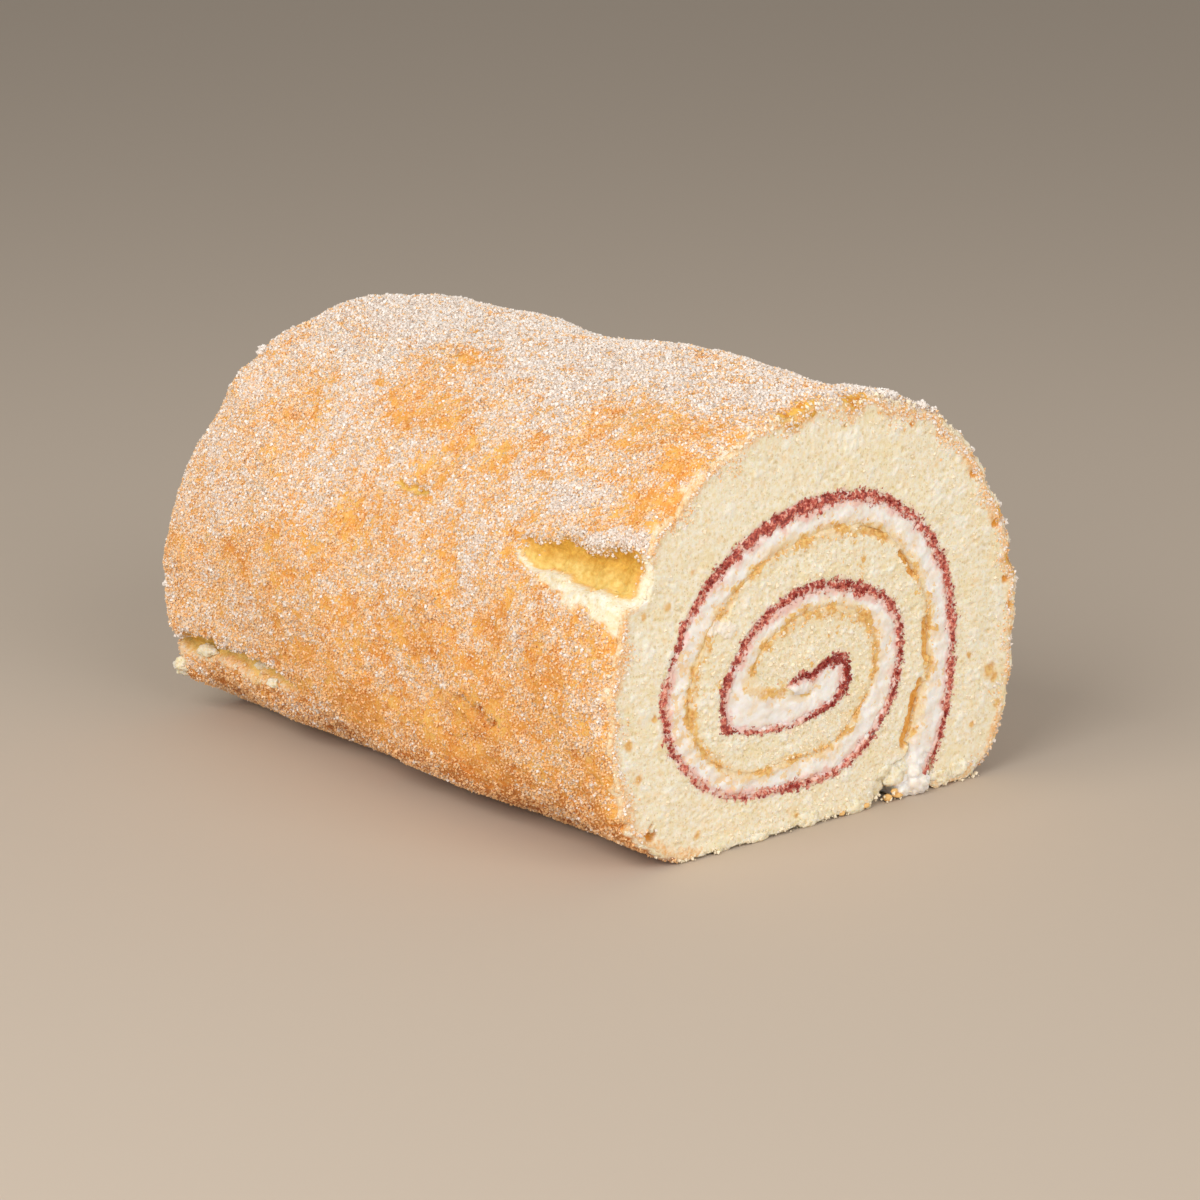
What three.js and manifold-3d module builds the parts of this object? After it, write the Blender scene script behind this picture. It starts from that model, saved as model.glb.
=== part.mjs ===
// A swiss roll cake: one sheet of sponge, spread with jam and cream, rolled up and laid on its seam.
// Millimetres, +Z up. The roll lies along Y, and its cut end is at the low end of Y.
// Each layer follows one spiral, given as a radius about the roll's eye at a few angles. Angles are in
// degrees, anticlockwise from +X as the cut end is faced, and grow inwards from the sheet's outer end.
import * as THREE from "three";
import { mergeVertices } from "three/addons/utils/BufferGeometryUtils.js";
import Module from "manifold-3d";

// ---- Driving dimensions ----

const EYE = { x: -2, z: 24.5 };
const LENGTH = 128.4;

// The far end swells a little low down and leans back towards the roll higher up. The rims are rounded
// where they are off the board: the far one all round, the near one over the top and down the back.
const FAR_SWELL = 3.4;
const FAR_SWELL_HEIGHT = 62;
const FAR_LEAN = 0.5;
const FAR_LEAN_HEIGHT = 77;
const FAR_ROUND = 3.6;
const RIM_LIFT = 18;
const NEAR_ROUND = 1.4;
const NEAR_ROUND_LENGTH = 4;
const NEAR_ROUND_FROM = 45;
const NEAR_ROUND_FULL = 80;

// [angle, radius] of the baked outside, from the sheet's end on the board, over the top and down the back.
const OUTSIDE = [
  [-31.4, 47.1],
  [-23, 50.8],
  [-12, 51.6],
  [0, 51.7],
  [30, 53.9],
  [60, 54.8],
  [90, 52.7],
  [120, 51.8],
  [150, 50.0],
  [180, 47.7],
  [192, 47.3],
  [201, 46.2],
  [209, 43.2],
  [219.2, 38.8],
];

// Radius of the side that was spread, one row for each turn of the sheet, every 30 degrees from -30.
const SPREAD_START = -30;
const SPREAD_STEP = 30;
const SPREAD_TURNS = [
  [36.4, 35.8, 37.6, 37.1, 34.9, 34.4, 34.8, 34.2, 26.8, 18.9, 16.7, 17.6],
  [19.4, 22.1, 23.5, 20.8, 19.7, 19.7, 20.6, 20.7, 10.0, 5.6, 4.4, 4.5],
  [6.0, 8.9, 9.6, 6.1, 3.5, 4.5, 5.5, 6.0],
];
const SHEET_INNER_END = 886;
const INNER_TIP = { angle: 889, radius: 10.6 };

// The sheet was folded sharply over to start the roll, which left a corner in the spread side.
const FOLD = { angle: 547, reach: 2.2, spread: 5.5, fineStep: 3, fineReach: 15 };

// [angle, depth] of the filling, from the spread side in to the next turn's crust.
const FILLING = [
  [-30, 7.6],
  [-15, 7.4],
  [0, 5.9],
  [30, 6.4],
  [60, 5.5],
  [90, 6.2],
  [120, 6.1],
  [150, 5.5],
  [180, 5.3],
  [210, 5.2],
  [240, 5.5],
  [270, 5.0],
  [300, 5.5],
  [330, 6.6],
  [360, 6.7],
  [390, 5.9],
  [420, 4.2],
  [450, 4.4],
  [480, 4.4],
  [510, 4.8],
  [535, 5.4],
];

// Points [x, z] where the layers meet the board: the end of the sheet, the notch where the crust turns
// up into the roll, and the cream that has squeezed out between them.
const SHEET_FOOT = [29.3, 0];
const NOTCH = [
  [13.3, 0],
  [14.1, 4.6],
  [17.4, 6.8],
  [21.6, 7.9],
];
const OOZE = [
  [23.0, 7.4],
  [20.4, 6.2],
  [19.9, 3.2],
  [20.7, 0],
  [28.9, 0],
];

const GAP = 0.3;
const JAM_DEPTH = 1.6;
const JAM_INNER_END = 874;
const JAM_SUNK = 0.4;
const CREAM_INNER_END = 892;
const STEEPEST = 1.8;

const SKIN_STEP = 3.6;
const LAYER_STEP = 8;
const FOOT_COLUMNS = 8;
const SKIN_STATIONS = 30;
const RIM_CROWDING = 0.1;

// Soft waves of the baked outside: [height, waves round the roll, waves along it, shift]. They start just
// behind the cut end and fade out towards the board. The top sags between the two ends.
const WAVES = [
  [0.7, 3, 1.3, 0.4],
  [0.5, 5, 2.1, 1.9],
  [0.45, 8, 2.9, 4.0],
  [0.3, 13, 4.3, 2.2],
];
const WAVES_FULL_FROM = 0.08;
const FOOT_CALM_HEIGHT = 6;
const TOP_SAG = 1.2;
const SAG_STEEPNESS = 0.3;

// Cracks in the baked outside: [start, end] of the angle and of the distance from the cut end, then the
// width and depth at the widest. The first one opens into the cut end.
const CRACKS = [
  { angle: [146.5, 147.5], along: [-1, 30], width: 5.6, depth: 4.6, pieces: 11, bothEnds: false },
  { angle: [192, 190], along: [88, 119], width: 5.0, depth: 3.4, pieces: 10, bothEnds: true },
  { angle: [141, 140.5], along: [59, 69], width: 1.8, depth: 1.8, pieces: 5, bothEnds: true },
  { angle: [190, 186], along: [34, 41], width: 2.6, depth: 1.8, pieces: 5, bothEnds: true },
];
const CRACK_JAG = 0.2;
const CRACK_WANDER = 0.6;
const CRACK_TIP = 0.03;
const CRACK_CLEARANCE = 4;

// Bumps and dents of the outside: [angle, distance along, reach across, reach along, height].
const BUMPS = [
  [199, 127, 4.5, 5.0, 2.6],
  [187, 124, 5.0, 4.0, 1.5],
  [168, 121, 4.5, 4.0, 1.2],
  [129, 124, 4.5, 4.0, 1.7],
  [115, 123, 4.5, 3.5, 1.3],
  [139, 12, 3.5, 13.0, 1.3],
  [155, 10, 4.0, 12.0, 0.9],
  [188, 38, 4.5, 6.0, -0.8],
  [106, 76, 2.5, 9.0, -0.7],
];

// The knife tears the crust at the cut rim: [height, waves round the roll, shift].
const RIM_TEARS = [
  [0.35, 23, 0.3],
  [0.3, 41, 1.7],
  [0.2, 9, 2.6],
];

const CRUST_FINISH = { color: 0xe7bd86, roughness: 0.85, metalness: 0 };
const JAM_FINISH = { color: 0x9c2f38, roughness: 0.4, metalness: 0 };
const CREAM_FINISH = { color: 0xf4ece4, roughness: 0.55, metalness: 0 };

// ---- The spiral ----

const radians = THREE.MathUtils.degToRad;
const degrees = THREE.MathUtils.radToDeg;
const ease = THREE.MathUtils.smoothstep;
const nearEnd = -LENGTH / 2;
const farEnd = (z) =>
  LENGTH / 2 +
  FAR_SWELL * Math.sin(Math.PI * Math.min(z / FAR_SWELL_HEIGHT, 1)) ** 2 -
  FAR_LEAN * (z / FAR_LEAN_HEIGHT) ** 2;

// A smooth curve through stops of [angle, value].
function curveThrough(stops) {
  const slopes = stops.map((stop, i) => {
    const before = stops[Math.max(i - 1, 0)];
    const after = stops[Math.min(i + 1, stops.length - 1)];
    return (after[1] - before[1]) / (after[0] - before[0]);
  });
  return (angle) => {
    const next = stops.findIndex((stop) => stop[0] > angle);
    const i = next < 0 ? stops.length - 2 : Math.max(next - 1, 0);
    const [startAngle, start] = stops[i];
    const [endAngle, end] = stops[i + 1];
    const run = endAngle - startAngle;
    const t = THREE.MathUtils.clamp((angle - startAngle) / run, 0, 1);
    const rest = 1 - t;
    return (
      start * rest * rest * (1 + 2 * t) +
      end * t * t * (1 + 2 * rest) +
      run * t * rest * (slopes[i] * rest - slopes[i + 1] * t)
    );
  };
}

const outsideRadius = curveThrough(OUTSIDE);
const fillingDepth = curveThrough(FILLING);
const spreadRows = curveThrough(
  SPREAD_TURNS.flat().map((radius, i) => [SPREAD_START + SPREAD_STEP * i, radius]),
);

function spreadRadius(angle) {
  const fold = FOLD.reach * Math.exp(-(((angle - FOLD.angle) / FOLD.spread) ** 2));
  return spreadRows(angle) + fold;
}

// The radius at a depth inside the spread side, measured square to it even where it winds in steeply.
function radiusInside(angle, depth) {
  const radius = spreadRadius(angle);
  const slope = (spreadRadius(angle + 1) - spreadRadius(angle - 1)) / radians(2);
  return radius - depth * Math.min(Math.hypot(1, slope / radius), STEEPEST);
}

// The crust of a turn further in, as far inside the spread side around it as the filling is deep.
const crustRadius = (angle) => spreadRadius(angle) - fillingDepth(angle);

// A point of the section, as a Vector2 of x and z, never below the board.
function sectionPoint(angle, radius) {
  const x = EYE.x + radius * Math.cos(radians(angle));
  const z = EYE.z + radius * Math.sin(radians(angle));
  return new THREE.Vector2(x, Math.max(z, 0));
}

// Angles from one end to the other, in even steps no longer than `step`.
function sweep(from, to, step) {
  const count = Math.ceil(Math.abs(to - from) / step);
  return Array.from({ length: count + 1 }, (_, i) => from + ((to - from) * i) / count);
}

// Points of the section along one line of the spiral. Every line has its points at the same angles, so
// that neighbouring layers stay clear of each other.
function spiralLine(from, to, radius) {
  const [low, high] = [Math.min(from, to), Math.max(from, to)];
  const even = sweep(SPREAD_START, CREAM_INNER_END, LAYER_STEP);
  const fine = sweep(FOLD.angle - FOLD.fineReach, FOLD.angle + FOLD.fineReach, FOLD.fineStep);
  const coarse = even.filter((angle) => Math.abs(angle - FOLD.angle) > FOLD.fineReach + 1);
  const between = [...coarse, ...fine].filter((angle) => angle > low + 1 && angle < high - 1);
  const angles = [low, ...between.sort((a, b) => a - b), high];
  const ordered = from < to ? angles : angles.reverse();
  return ordered.map((angle) => sectionPoint(angle, radius(angle)));
}

const asPoints = (pairs) => pairs.map(([x, z]) => new THREE.Vector2(x, z));

// ---- Solids made of columns ----

// A column that runs straight along the roll at one point of the section.
function straightColumn(point, sunk = 0) {
  return [
    new THREE.Vector3(point.x, nearEnd + sunk, point.y),
    new THREE.Vector3(point.x, farEnd(point.y) - sunk, point.y),
  ];
}

// Triangles between two neighbouring columns, which may have different numbers of points.
function joinColumns(left, right) {
  const triangles = [];
  let i = 0;
  let j = 0;
  while (i < left.length - 1 || j < right.length - 1) {
    const rightDone = j === right.length - 1;
    const leftNext = i < left.length - 1 && (rightDone || left[i + 1].y <= right[j + 1].y);
    if (leftNext) {
      triangles.push(left[i], left[i + 1], right[j]);
      i += 1;
    } else {
      triangles.push(left[i], right[j + 1], right[j]);
      j += 1;
    }
  }
  return triangles;
}

// A flat end over the first or last points of the columns.
function endCap(ring, facesNear) {
  const outline = ring.map((point) => new THREE.Vector2(point.x, point.z));
  return THREE.ShapeUtils.triangulateShape(outline, []).flatMap(([a, b, c]) => {
    const turned = facesNear ? [a, b, c] : [a, c, b];
    return turned.map((index) => ring[index]);
  });
}

// A closed surface over columns that go anticlockwise round the section as the cut end is faced.
function surfaceOf(columns) {
  const sides = columns.flatMap((column, i) =>
    joinColumns(column, columns[(i + 1) % columns.length]),
  );
  const near = endCap(columns.map((column) => column[0]), true);
  const far = endCap(columns.map((column) => column[column.length - 1]), false);
  return new THREE.BufferGeometry().setFromPoints([...sides, ...near, ...far]);
}

// ---- Joining and cutting ----

const wasm = await Module();
wasm.setup();

function solidOf(geometry) {
  const bare = geometry.index ? geometry.toNonIndexed() : geometry.clone();
  bare.deleteAttribute("normal");
  bare.deleteAttribute("uv");
  const merged = mergeVertices(bare, 1e-3);
  return new wasm.Manifold(
    new wasm.Mesh({
      numProp: 3,
      vertProperties: merged.attributes.position.array,
      triVerts: new Uint32Array(merged.index.array),
    }),
  );
}

function geometryOf(solid) {
  const mesh = solid.getMesh();
  const geometry = new THREE.BufferGeometry();
  geometry.setAttribute("position", new THREE.BufferAttribute(mesh.vertProperties, 3));
  geometry.setIndex(new THREE.BufferAttribute(mesh.triVerts, 1));
  geometry.computeVertexNormals();
  return geometry;
}

// ---- The sponge sheet ----

const sumOf = (values) => values.reduce((sum, value) => sum + value, 0);

// How far the baked outside stands proud, with `along` running from 0 at the cut end to 1.
function swell(angle, along) {
  const turn = radians(angle);
  const waves = WAVES.map(
    ([height, round, length, shift]) =>
      height * Math.sin(round * turn + shift) * Math.sin(2 * Math.PI * length * along + shift * round),
  );
  const bumps = BUMPS.map(([centre, distance, across, reach, height]) => {
    const aside = (radians(angle - centre) * outsideRadius(angle)) / across;
    const beyond = (along * LENGTH - distance) / reach;
    return height * Math.exp(-(aside ** 2) - beyond ** 2);
  });
  const sag = TOP_SAG * Math.sin(Math.PI * along) * ease(Math.sin(turn), SAG_STEEPNESS, 1);
  return sumOf(waves) * ease(along, 0, WAVES_FULL_FROM) + sumOf(bumps) - sag;
}

const rimTear = (angle) =>
  sumOf(RIM_TEARS.map(([height, round, shift]) => height * Math.sin(round * radians(angle) + shift)));

// How far the rim draws in near the two ends, unevenly where it was cut.
function rimInset(angle, height, fromNear, fromFar) {
  const near = Math.max(1 - fromNear / NEAR_ROUND_LENGTH, 0);
  const far = Math.max(1 - fromFar / FAR_ROUND, 0);
  const nearDrop = NEAR_ROUND * near ** 2 * ease(angle, NEAR_ROUND_FROM, NEAR_ROUND_FULL);
  const farDrop = FAR_ROUND * (1 - Math.sqrt(1 - far ** 2));
  return (nearDrop + farDrop + rimTear(angle) * near) * ease(height, 0, RIM_LIFT);
}

// A point of the baked outside at a distance from the cut end, raised by `proud`.
function skinPoint(angle, distance, proud = 0) {
  const height = sectionPoint(angle, outsideRadius(angle)).y;
  const length = farEnd(height) - nearEnd;
  const raised = swell(angle, distance / length) * ease(height, 0, FOOT_CALM_HEIGHT);
  const inset = rimInset(angle, height, distance, length - distance);
  const point = sectionPoint(angle, outsideRadius(angle) + raised - inset + proud);
  return new THREE.Vector3(point.x, nearEnd + distance, point.y);
}

// A column of the baked outside, with stations crowded towards the two rounded rims.
function skinColumn(angle) {
  const height = sectionPoint(angle, outsideRadius(angle)).y;
  const length = farEnd(height) - nearEnd;
  return Array.from({ length: SKIN_STATIONS + 1 }, (_, i) => {
    const even = i / SKIN_STATIONS;
    const crowded = even - RIM_CROWDING * Math.sin(2 * Math.PI * even);
    return skinPoint(angle, length * crowded);
  });
}

function footLine(from, to) {
  return sweep(0, FOOT_COLUMNS, 1).map(
    (step) => new THREE.Vector2(from + ((to - from) * step) / FOOT_COLUMNS, 0),
  );
}

function spongeBlank() {
  const [firstAngle, lastAngle] = [OUTSIDE[0][0], OUTSIDE[OUTSIDE.length - 1][0]];
  const skin = sweep(firstAngle, lastAngle, SKIN_STEP).map(skinColumn);
  const heel = sectionPoint(lastAngle, outsideRadius(lastAngle));
  const foot = footLine(heel.x, NOTCH[0][0]).slice(1);
  const innerTurns = spiralLine(SPREAD_START, SHEET_INNER_END - 360, crustRadius);
  const tip = sectionPoint(INNER_TIP.angle, INNER_TIP.radius);
  const spread = spiralLine(SHEET_INNER_END, SPREAD_START, spreadRadius);
  const notch = asPoints(NOTCH.slice(1));
  const inside = [...foot, ...notch, ...innerTurns, tip, ...spread, ...asPoints([SHEET_FOOT])];
  return surfaceOf([...skin, ...inside.map((point) => straightColumn(point))]);
}

// How wide a crack stands open along its run, from 0 to 1: closing at both ends or at the far one.
function openness(run, closesAtBothEnds) {
  const closed = closesAtBothEnds ? Math.sin(Math.PI * run) : 1 - run;
  return Math.sqrt(Math.max(closed, CRACK_TIP));
}

// A jagged wedge along the roll, which cuts a crack. It reaches out past the skin.
function crackCutter({ angle, along, width, depth, pieces, bothEnds }, index) {
  const section = [
    [-0.5, -1],
    [0.5, -1],
    [0.5, 0],
    [0.25, 0.9],
    [-0.15, 1],
    [-0.5, 0],
  ];
  const columns = section.map(([side, sink]) =>
    sweep(0, pieces, 1).map((piece) => {
      const run = piece / pieces;
      const jag = 1 + CRACK_JAG * Math.sin(7.1 * piece + 11 * side + index);
      const open = openness(run, bothEnds) * jag;
      const wander = CRACK_WANDER * Math.sin(3.7 * piece + index);
      const centre = THREE.MathUtils.lerp(angle[0], angle[1], run) + wander;
      const across = degrees((side * width * open) / outsideRadius(centre));
      const proud = sink < 0 ? CRACK_CLEARANCE : -sink * depth * open;
      return skinPoint(centre + across, THREE.MathUtils.lerp(along[0], along[1], run), proud);
    }),
  );
  return surfaceOf(columns);
}

function spongeSheet() {
  const cutters = CRACKS.map((crack, index) => solidOf(crackCutter(crack, index)));
  const cracked = cutters.reduce((rest, cutter) => rest.subtract(cutter), solidOf(spongeBlank()));
  return geometryOf(cracked);
}

// ---- The filling ----

function jamLayer() {
  const outer = spiralLine(SPREAD_START, JAM_INNER_END, (angle) => radiusInside(angle, GAP));
  const inner = spiralLine(JAM_INNER_END, SPREAD_START, (angle) => radiusInside(angle, GAP + JAM_DEPTH));
  return surfaceOf([...outer, ...inner].map((point) => straightColumn(point, JAM_SUNK)));
}

function creamLayer() {
  const jamDepth = JAM_DEPTH + 2 * GAP;
  const jamSide = spiralLine(SPREAD_START, CREAM_INNER_END, (angle) => radiusInside(angle, jamDepth));
  const crustSide = spiralLine(CREAM_INNER_END - 360, SPREAD_START, (angle) => crustRadius(angle) + GAP);
  return surfaceOf([...jamSide, ...crustSide, ...asPoints(OOZE)].map((point) => straightColumn(point)));
}

// ---- The roll ----

function layer(name, geometry, finish) {
  const mesh = new THREE.Mesh(geometry, new THREE.MeshStandardMaterial(finish));
  mesh.name = name;
  return mesh;
}

const group = new THREE.Group();
group.add(
  layer("sponge", spongeSheet(), CRUST_FINISH),
  layer("jam", jamLayer(), JAM_FINISH),
  layer("cream", creamLayer(), CREAM_FINISH),
);

// The origin is on the board, under the middle of the roll's box.
const box = new THREE.Box3().setFromObject(group);
const middle = box.getCenter(new THREE.Vector3());
group.position.set(-middle.x, -middle.y, -box.min.z);

export default group;
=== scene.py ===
# %% [markdown]
# # A sugared swiss roll
#
# A swiss roll is one thin sheet of sponge, spread with jam and cream, rolled up and tipped out on to
# sugar. What makes it look real is that nothing on it is smooth: the baked outside is wrinkled and
# cracked, thousands of sugar grains stick to it, and the knife leaves torn crumb, ragged jam and
# smeared cream at the cut end. This lesson builds all of that as mesh around a plain solid model.

# %% Load the plain solids that the looks are built around
import math

import bmesh
import bpy
import numpy as np
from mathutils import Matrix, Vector, noise


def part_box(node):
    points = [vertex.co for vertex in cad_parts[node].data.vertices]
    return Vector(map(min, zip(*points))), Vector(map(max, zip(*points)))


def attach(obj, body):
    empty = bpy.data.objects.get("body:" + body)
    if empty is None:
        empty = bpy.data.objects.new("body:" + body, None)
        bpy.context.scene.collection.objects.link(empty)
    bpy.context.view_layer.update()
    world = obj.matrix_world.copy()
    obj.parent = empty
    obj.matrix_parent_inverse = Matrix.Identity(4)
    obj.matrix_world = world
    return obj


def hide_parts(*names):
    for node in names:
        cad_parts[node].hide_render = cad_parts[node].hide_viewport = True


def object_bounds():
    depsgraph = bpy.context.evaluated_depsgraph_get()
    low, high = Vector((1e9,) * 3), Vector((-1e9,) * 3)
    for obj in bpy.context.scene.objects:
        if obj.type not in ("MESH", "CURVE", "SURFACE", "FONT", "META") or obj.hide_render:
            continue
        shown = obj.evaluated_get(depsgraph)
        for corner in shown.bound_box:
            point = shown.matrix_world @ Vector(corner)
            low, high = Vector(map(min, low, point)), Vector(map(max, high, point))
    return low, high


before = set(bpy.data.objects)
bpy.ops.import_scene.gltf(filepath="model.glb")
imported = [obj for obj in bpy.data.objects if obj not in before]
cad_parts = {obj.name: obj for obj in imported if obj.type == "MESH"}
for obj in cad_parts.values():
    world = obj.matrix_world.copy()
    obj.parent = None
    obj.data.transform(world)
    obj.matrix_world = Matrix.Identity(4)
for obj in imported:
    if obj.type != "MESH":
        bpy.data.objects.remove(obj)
cad_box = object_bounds()
print("solids:", sorted(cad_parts), "box:", [list(corner) for corner in cad_box])

# %% [markdown]
# ## Camera, floor and light
#
# Food is best judged in the light it will be seen in, so this comes first. The camera is a long lens a
# little above the table. A large soft lamp on the left gives the sugar its sparkle, a weaker one in
# front of the cut end opens up the spiral, and a pale floor throws light back under the roll.

# %% Camera
MM = 0.001
CAMERA_PLACE = Vector((-414.7, -488.8, 205.0)) * MM
CAMERA_HEADING = 40.7
CAMERA_PITCH = 15.5
CAMERA_LENS = 105.9
SENSOR_WIDTH = 36.0


def add_object(name, data):
    made = bpy.data.objects.new(name, data)
    bpy.context.scene.collection.objects.link(made)
    return made


camera = add_object("camera", bpy.data.cameras.new("camera"))
camera.data.lens = CAMERA_LENS
camera.data.sensor_width = SENSOR_WIDTH
camera.data.clip_start = 0.01
camera.location = CAMERA_PLACE
camera.rotation_euler = (math.radians(90 - CAMERA_PITCH), 0, math.radians(-CAMERA_HEADING))
bpy.context.scene.camera = camera
print("camera distance, mm:", round(camera.location.length / MM))

# %% Lamps, sky and view
LAMPS = {
    # name: (heading from the roll, height angle, distance, width, power in watts)
    "window": (-103, 34, 0.9, 0.6, 5.4),
    "reflector": (-176, 26, 1.0, 0.8, 4.7),
}
SKY_STRENGTH = 0.36
SKY_COLOUR = (1.0, 0.985, 0.96, 1)
ROLL_MIDDLE = (cad_box[0] + cad_box[1]) / 2


def heading_vector(heading, height):
    """A direction given by degrees clockwise from +Y and degrees above the table."""
    around, up = math.radians(heading), math.radians(height)
    return Vector((math.sin(around) * math.cos(up), math.cos(around) * math.cos(up), math.sin(up)))


for name, (heading, height, distance, width, power) in LAMPS.items():
    lamp = add_object(name, bpy.data.lights.new(name, "AREA"))
    lamp.data.energy = power
    lamp.data.size = width
    lamp.location = ROLL_MIDDLE + heading_vector(heading, height) * distance
    lamp.rotation_euler = (lamp.location - ROLL_MIDDLE).to_track_quat("Z", "Y").to_euler()

sky = bpy.data.worlds.new("sky")
sky.use_nodes = True
sky.node_tree.nodes["Background"].inputs["Color"].default_value = SKY_COLOUR
sky.node_tree.nodes["Background"].inputs["Strength"].default_value = SKY_STRENGTH
bpy.context.scene.world = sky
bpy.context.scene.view_settings.view_transform = "Standard"
print("lamps:", ", ".join(LAMPS))

# %% [markdown]
# ## The spiral
#
# Every layer follows one spiral about the eye of the roll. It is easiest to say as a radius at a few
# angles, with a smooth curve through them: that is how the solids were drawn, so the same stops are
# used here and everything lands where the solids are. Sizes are in millimetres until a mesh is made.

# %% Sizes of the roll
EYE = np.array([-1.974, 24.5])
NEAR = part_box("cream")[0].y / MM
LENGTH = 128.4
FAR_SWELL = (3.4, 62)
FAR_LEAN = (0.5, 77)

OUTSIDE = [(-31.4, 47.1), (-23, 50.8), (-12, 51.6), (0, 51.7), (30, 53.9), (60, 54.8), (90, 52.7)]
OUTSIDE += [(120, 51.8), (150, 50.0), (180, 47.7), (192, 47.3), (201, 46.2), (209, 43.2), (219.2, 38.8)]
SPREAD_START = -30
SPREAD_STEP = 30
SPREAD = [36.4, 35.8, 37.6, 37.1, 34.9, 34.4, 34.8, 34.2, 26.8, 18.9, 16.7, 17.6]
SPREAD += [19.4, 22.1, 23.5, 20.8, 19.7, 19.7, 20.6, 20.7, 10.0, 5.6, 4.4, 4.5]
SPREAD += [6.0, 8.9, 9.6, 6.1, 3.5, 4.5, 5.5, 6.0]
FOLD = {"angle": 547, "reach": 2.2, "spread": 5.5}
FILLING = [(-30, 7.6), (-15, 7.4), (0, 5.9), (30, 6.4), (60, 5.5), (90, 6.2), (120, 6.1), (150, 5.5)]
FILLING += [(180, 5.3), (210, 5.2), (240, 5.5), (270, 5.0), (300, 5.5), (330, 6.6), (360, 6.7)]
FILLING += [(390, 5.9), (420, 4.2), (450, 4.4), (480, 4.4), (510, 4.8), (535, 5.4)]
SHEET_FOOT = (29.3, 0)
NOTCH = [(13.3, 0), (14.1, 4.6), (17.4, 6.8), (21.6, 7.9)]
OOZE = [(23.0, 7.4), (20.4, 6.2), (19.9, 3.2), (20.7, 0)]
OOZE_EDGE = (28.9, 0)
FOOT_RADII = (28.8, 34.6)
SHEET_INNER_END = 886
INNER_TIP = (889, 10.6)
STEEPEST = 1.8

FAR = NEAR + LENGTH
print("near and far ends, mm:", round(NEAR, 2), round(FAR, 2))


# %% Smooth steps and curves
def ease(value, low, high):
    """0 at low, 1 at high, and a smooth step between them."""
    t = np.clip((np.asarray(value, float) - low) / (high - low), 0, 1)
    return t * t * (3 - 2 * t)


def curve_through(stops):
    """A smooth curve through (angle, value) stops."""
    at, value = np.array(stops, float).T
    before = np.maximum(np.arange(len(at)) - 1, 0)
    after = np.minimum(np.arange(len(at)) + 1, len(at) - 1)
    slope = (value[after] - value[before]) / (at[after] - at[before])

    def curve(angle):
        i = np.clip(np.searchsorted(at, angle, side="right") - 1, 0, len(at) - 2)
        run = at[i + 1] - at[i]
        t = np.clip((angle - at[i]) / run, 0, 1)
        rest = 1 - t
        bend = run * t * rest * (slope[i] * rest - slope[i + 1] * t)
        return value[i] * rest**2 * (1 + 2 * t) + value[i + 1] * t**2 * (1 + 2 * rest) + bend

    return curve


# %% Angles and radii about the eye
SOLIDS_EYE_X = -2.0
LEAST_SLOPE = 0.02


def to_section(angle, radius):
    """x and z of a point given by its angle and radius about the eye, never below the board."""
    turn = np.radians(angle)
    x = EYE[0] + radius * np.cos(turn)
    z = EYE[1] + radius * np.sin(turn)
    return x, np.maximum(z, 0)


def to_polar(point, turns=0):
    """The angle and radius about the eye of an (x, z) point of the solids' drawing."""
    aside, up = point[0] - SOLIDS_EYE_X, point[1] - EYE[1]
    return math.degrees(math.atan2(up, aside)) + 360 * turns, math.hypot(aside, up)


def board_radius(angle):
    """How far the board is from the eye in a direction that points down."""
    return EYE[1] / np.maximum(-np.sin(np.radians(angle)), LEAST_SLOPE)


# %% The sides of each layer
outside_curve = curve_through(OUTSIDE)
filling_depth = curve_through(FILLING)
spread_curve = curve_through([(SPREAD_START + SPREAD_STEP * i, r) for i, r in enumerate(SPREAD)])
notch_stops = [to_polar(point, 1) for point in NOTCH] + [(SPREAD_START + 360, FOOT_RADII[0])]
notch_curve = curve_through(notch_stops)


def outside_radius(angle):
    on_board = (angle < OUTSIDE[0][0]) | (angle > OUTSIDE[-1][0])
    return np.where(on_board, board_radius(angle), outside_curve(angle))


def spread_radius(angle):
    fold = FOLD["reach"] * np.exp(-(((angle - FOLD["angle"]) / FOLD["spread"]) ** 2))
    return spread_curve(angle) + fold


def slant(angle):
    """How much longer a radial step is than one square to the spread side."""
    slope = (spread_radius(angle + 1) - spread_radius(angle - 1)) / math.radians(2)
    return np.minimum(np.hypot(1, slope / spread_radius(angle)), STEEPEST)


def radius_inside(angle, depth):
    """The radius at a depth inside the spread side, measured square to it."""
    return spread_radius(angle) - depth * slant(angle)


def depth_inside(angle, radius):
    return (spread_radius(angle) - radius) / slant(angle)


def crust_radius(angle):
    """The crust of a turn further in, seen from the filling around it."""
    return spread_radius(angle) - filling_depth(angle)


def far_end(z):
    swell = FAR_SWELL[0] * np.sin(np.pi * np.minimum(z / FAR_SWELL[1], 1)) ** 2
    return FAR + swell - FAR_LEAN[0] * (z / FAR_LEAN[1]) ** 2


# %% Even steps along a curve
STEPS_PER_DEGREE = 8
SHORTEST_STRIDE = 0.02


def even_angles(low, high, radius, step):
    """Angles from low to high whose points lie about `step` apart, which may vary with the angle."""
    fine = np.linspace(low, high, int((high - low) * STEPS_PER_DEGREE) + 2)
    x, z = to_section(fine, radius(fine))
    strides = np.hypot(np.diff(x), np.diff(z)) + SHORTEST_STRIDE
    wanted = step(fine) if callable(step) else np.full(len(fine), step)
    walked = np.concatenate([[0], np.cumsum(strides / wanted[1:])])
    return np.interp(np.linspace(0, walked[-1], int(walked[-1]) + 1), walked, fine)


# %% [markdown]
# ## Roughness from noise
#
# Cake is rough at every scale, so the same few lines are used everywhere: smooth noise at a stated size
# in millimetres, and round pores, which are what bubbles leave when the knife opens them. A roughness
# is written as a short list of (height, size, seed) and its noises are added up.


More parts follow.
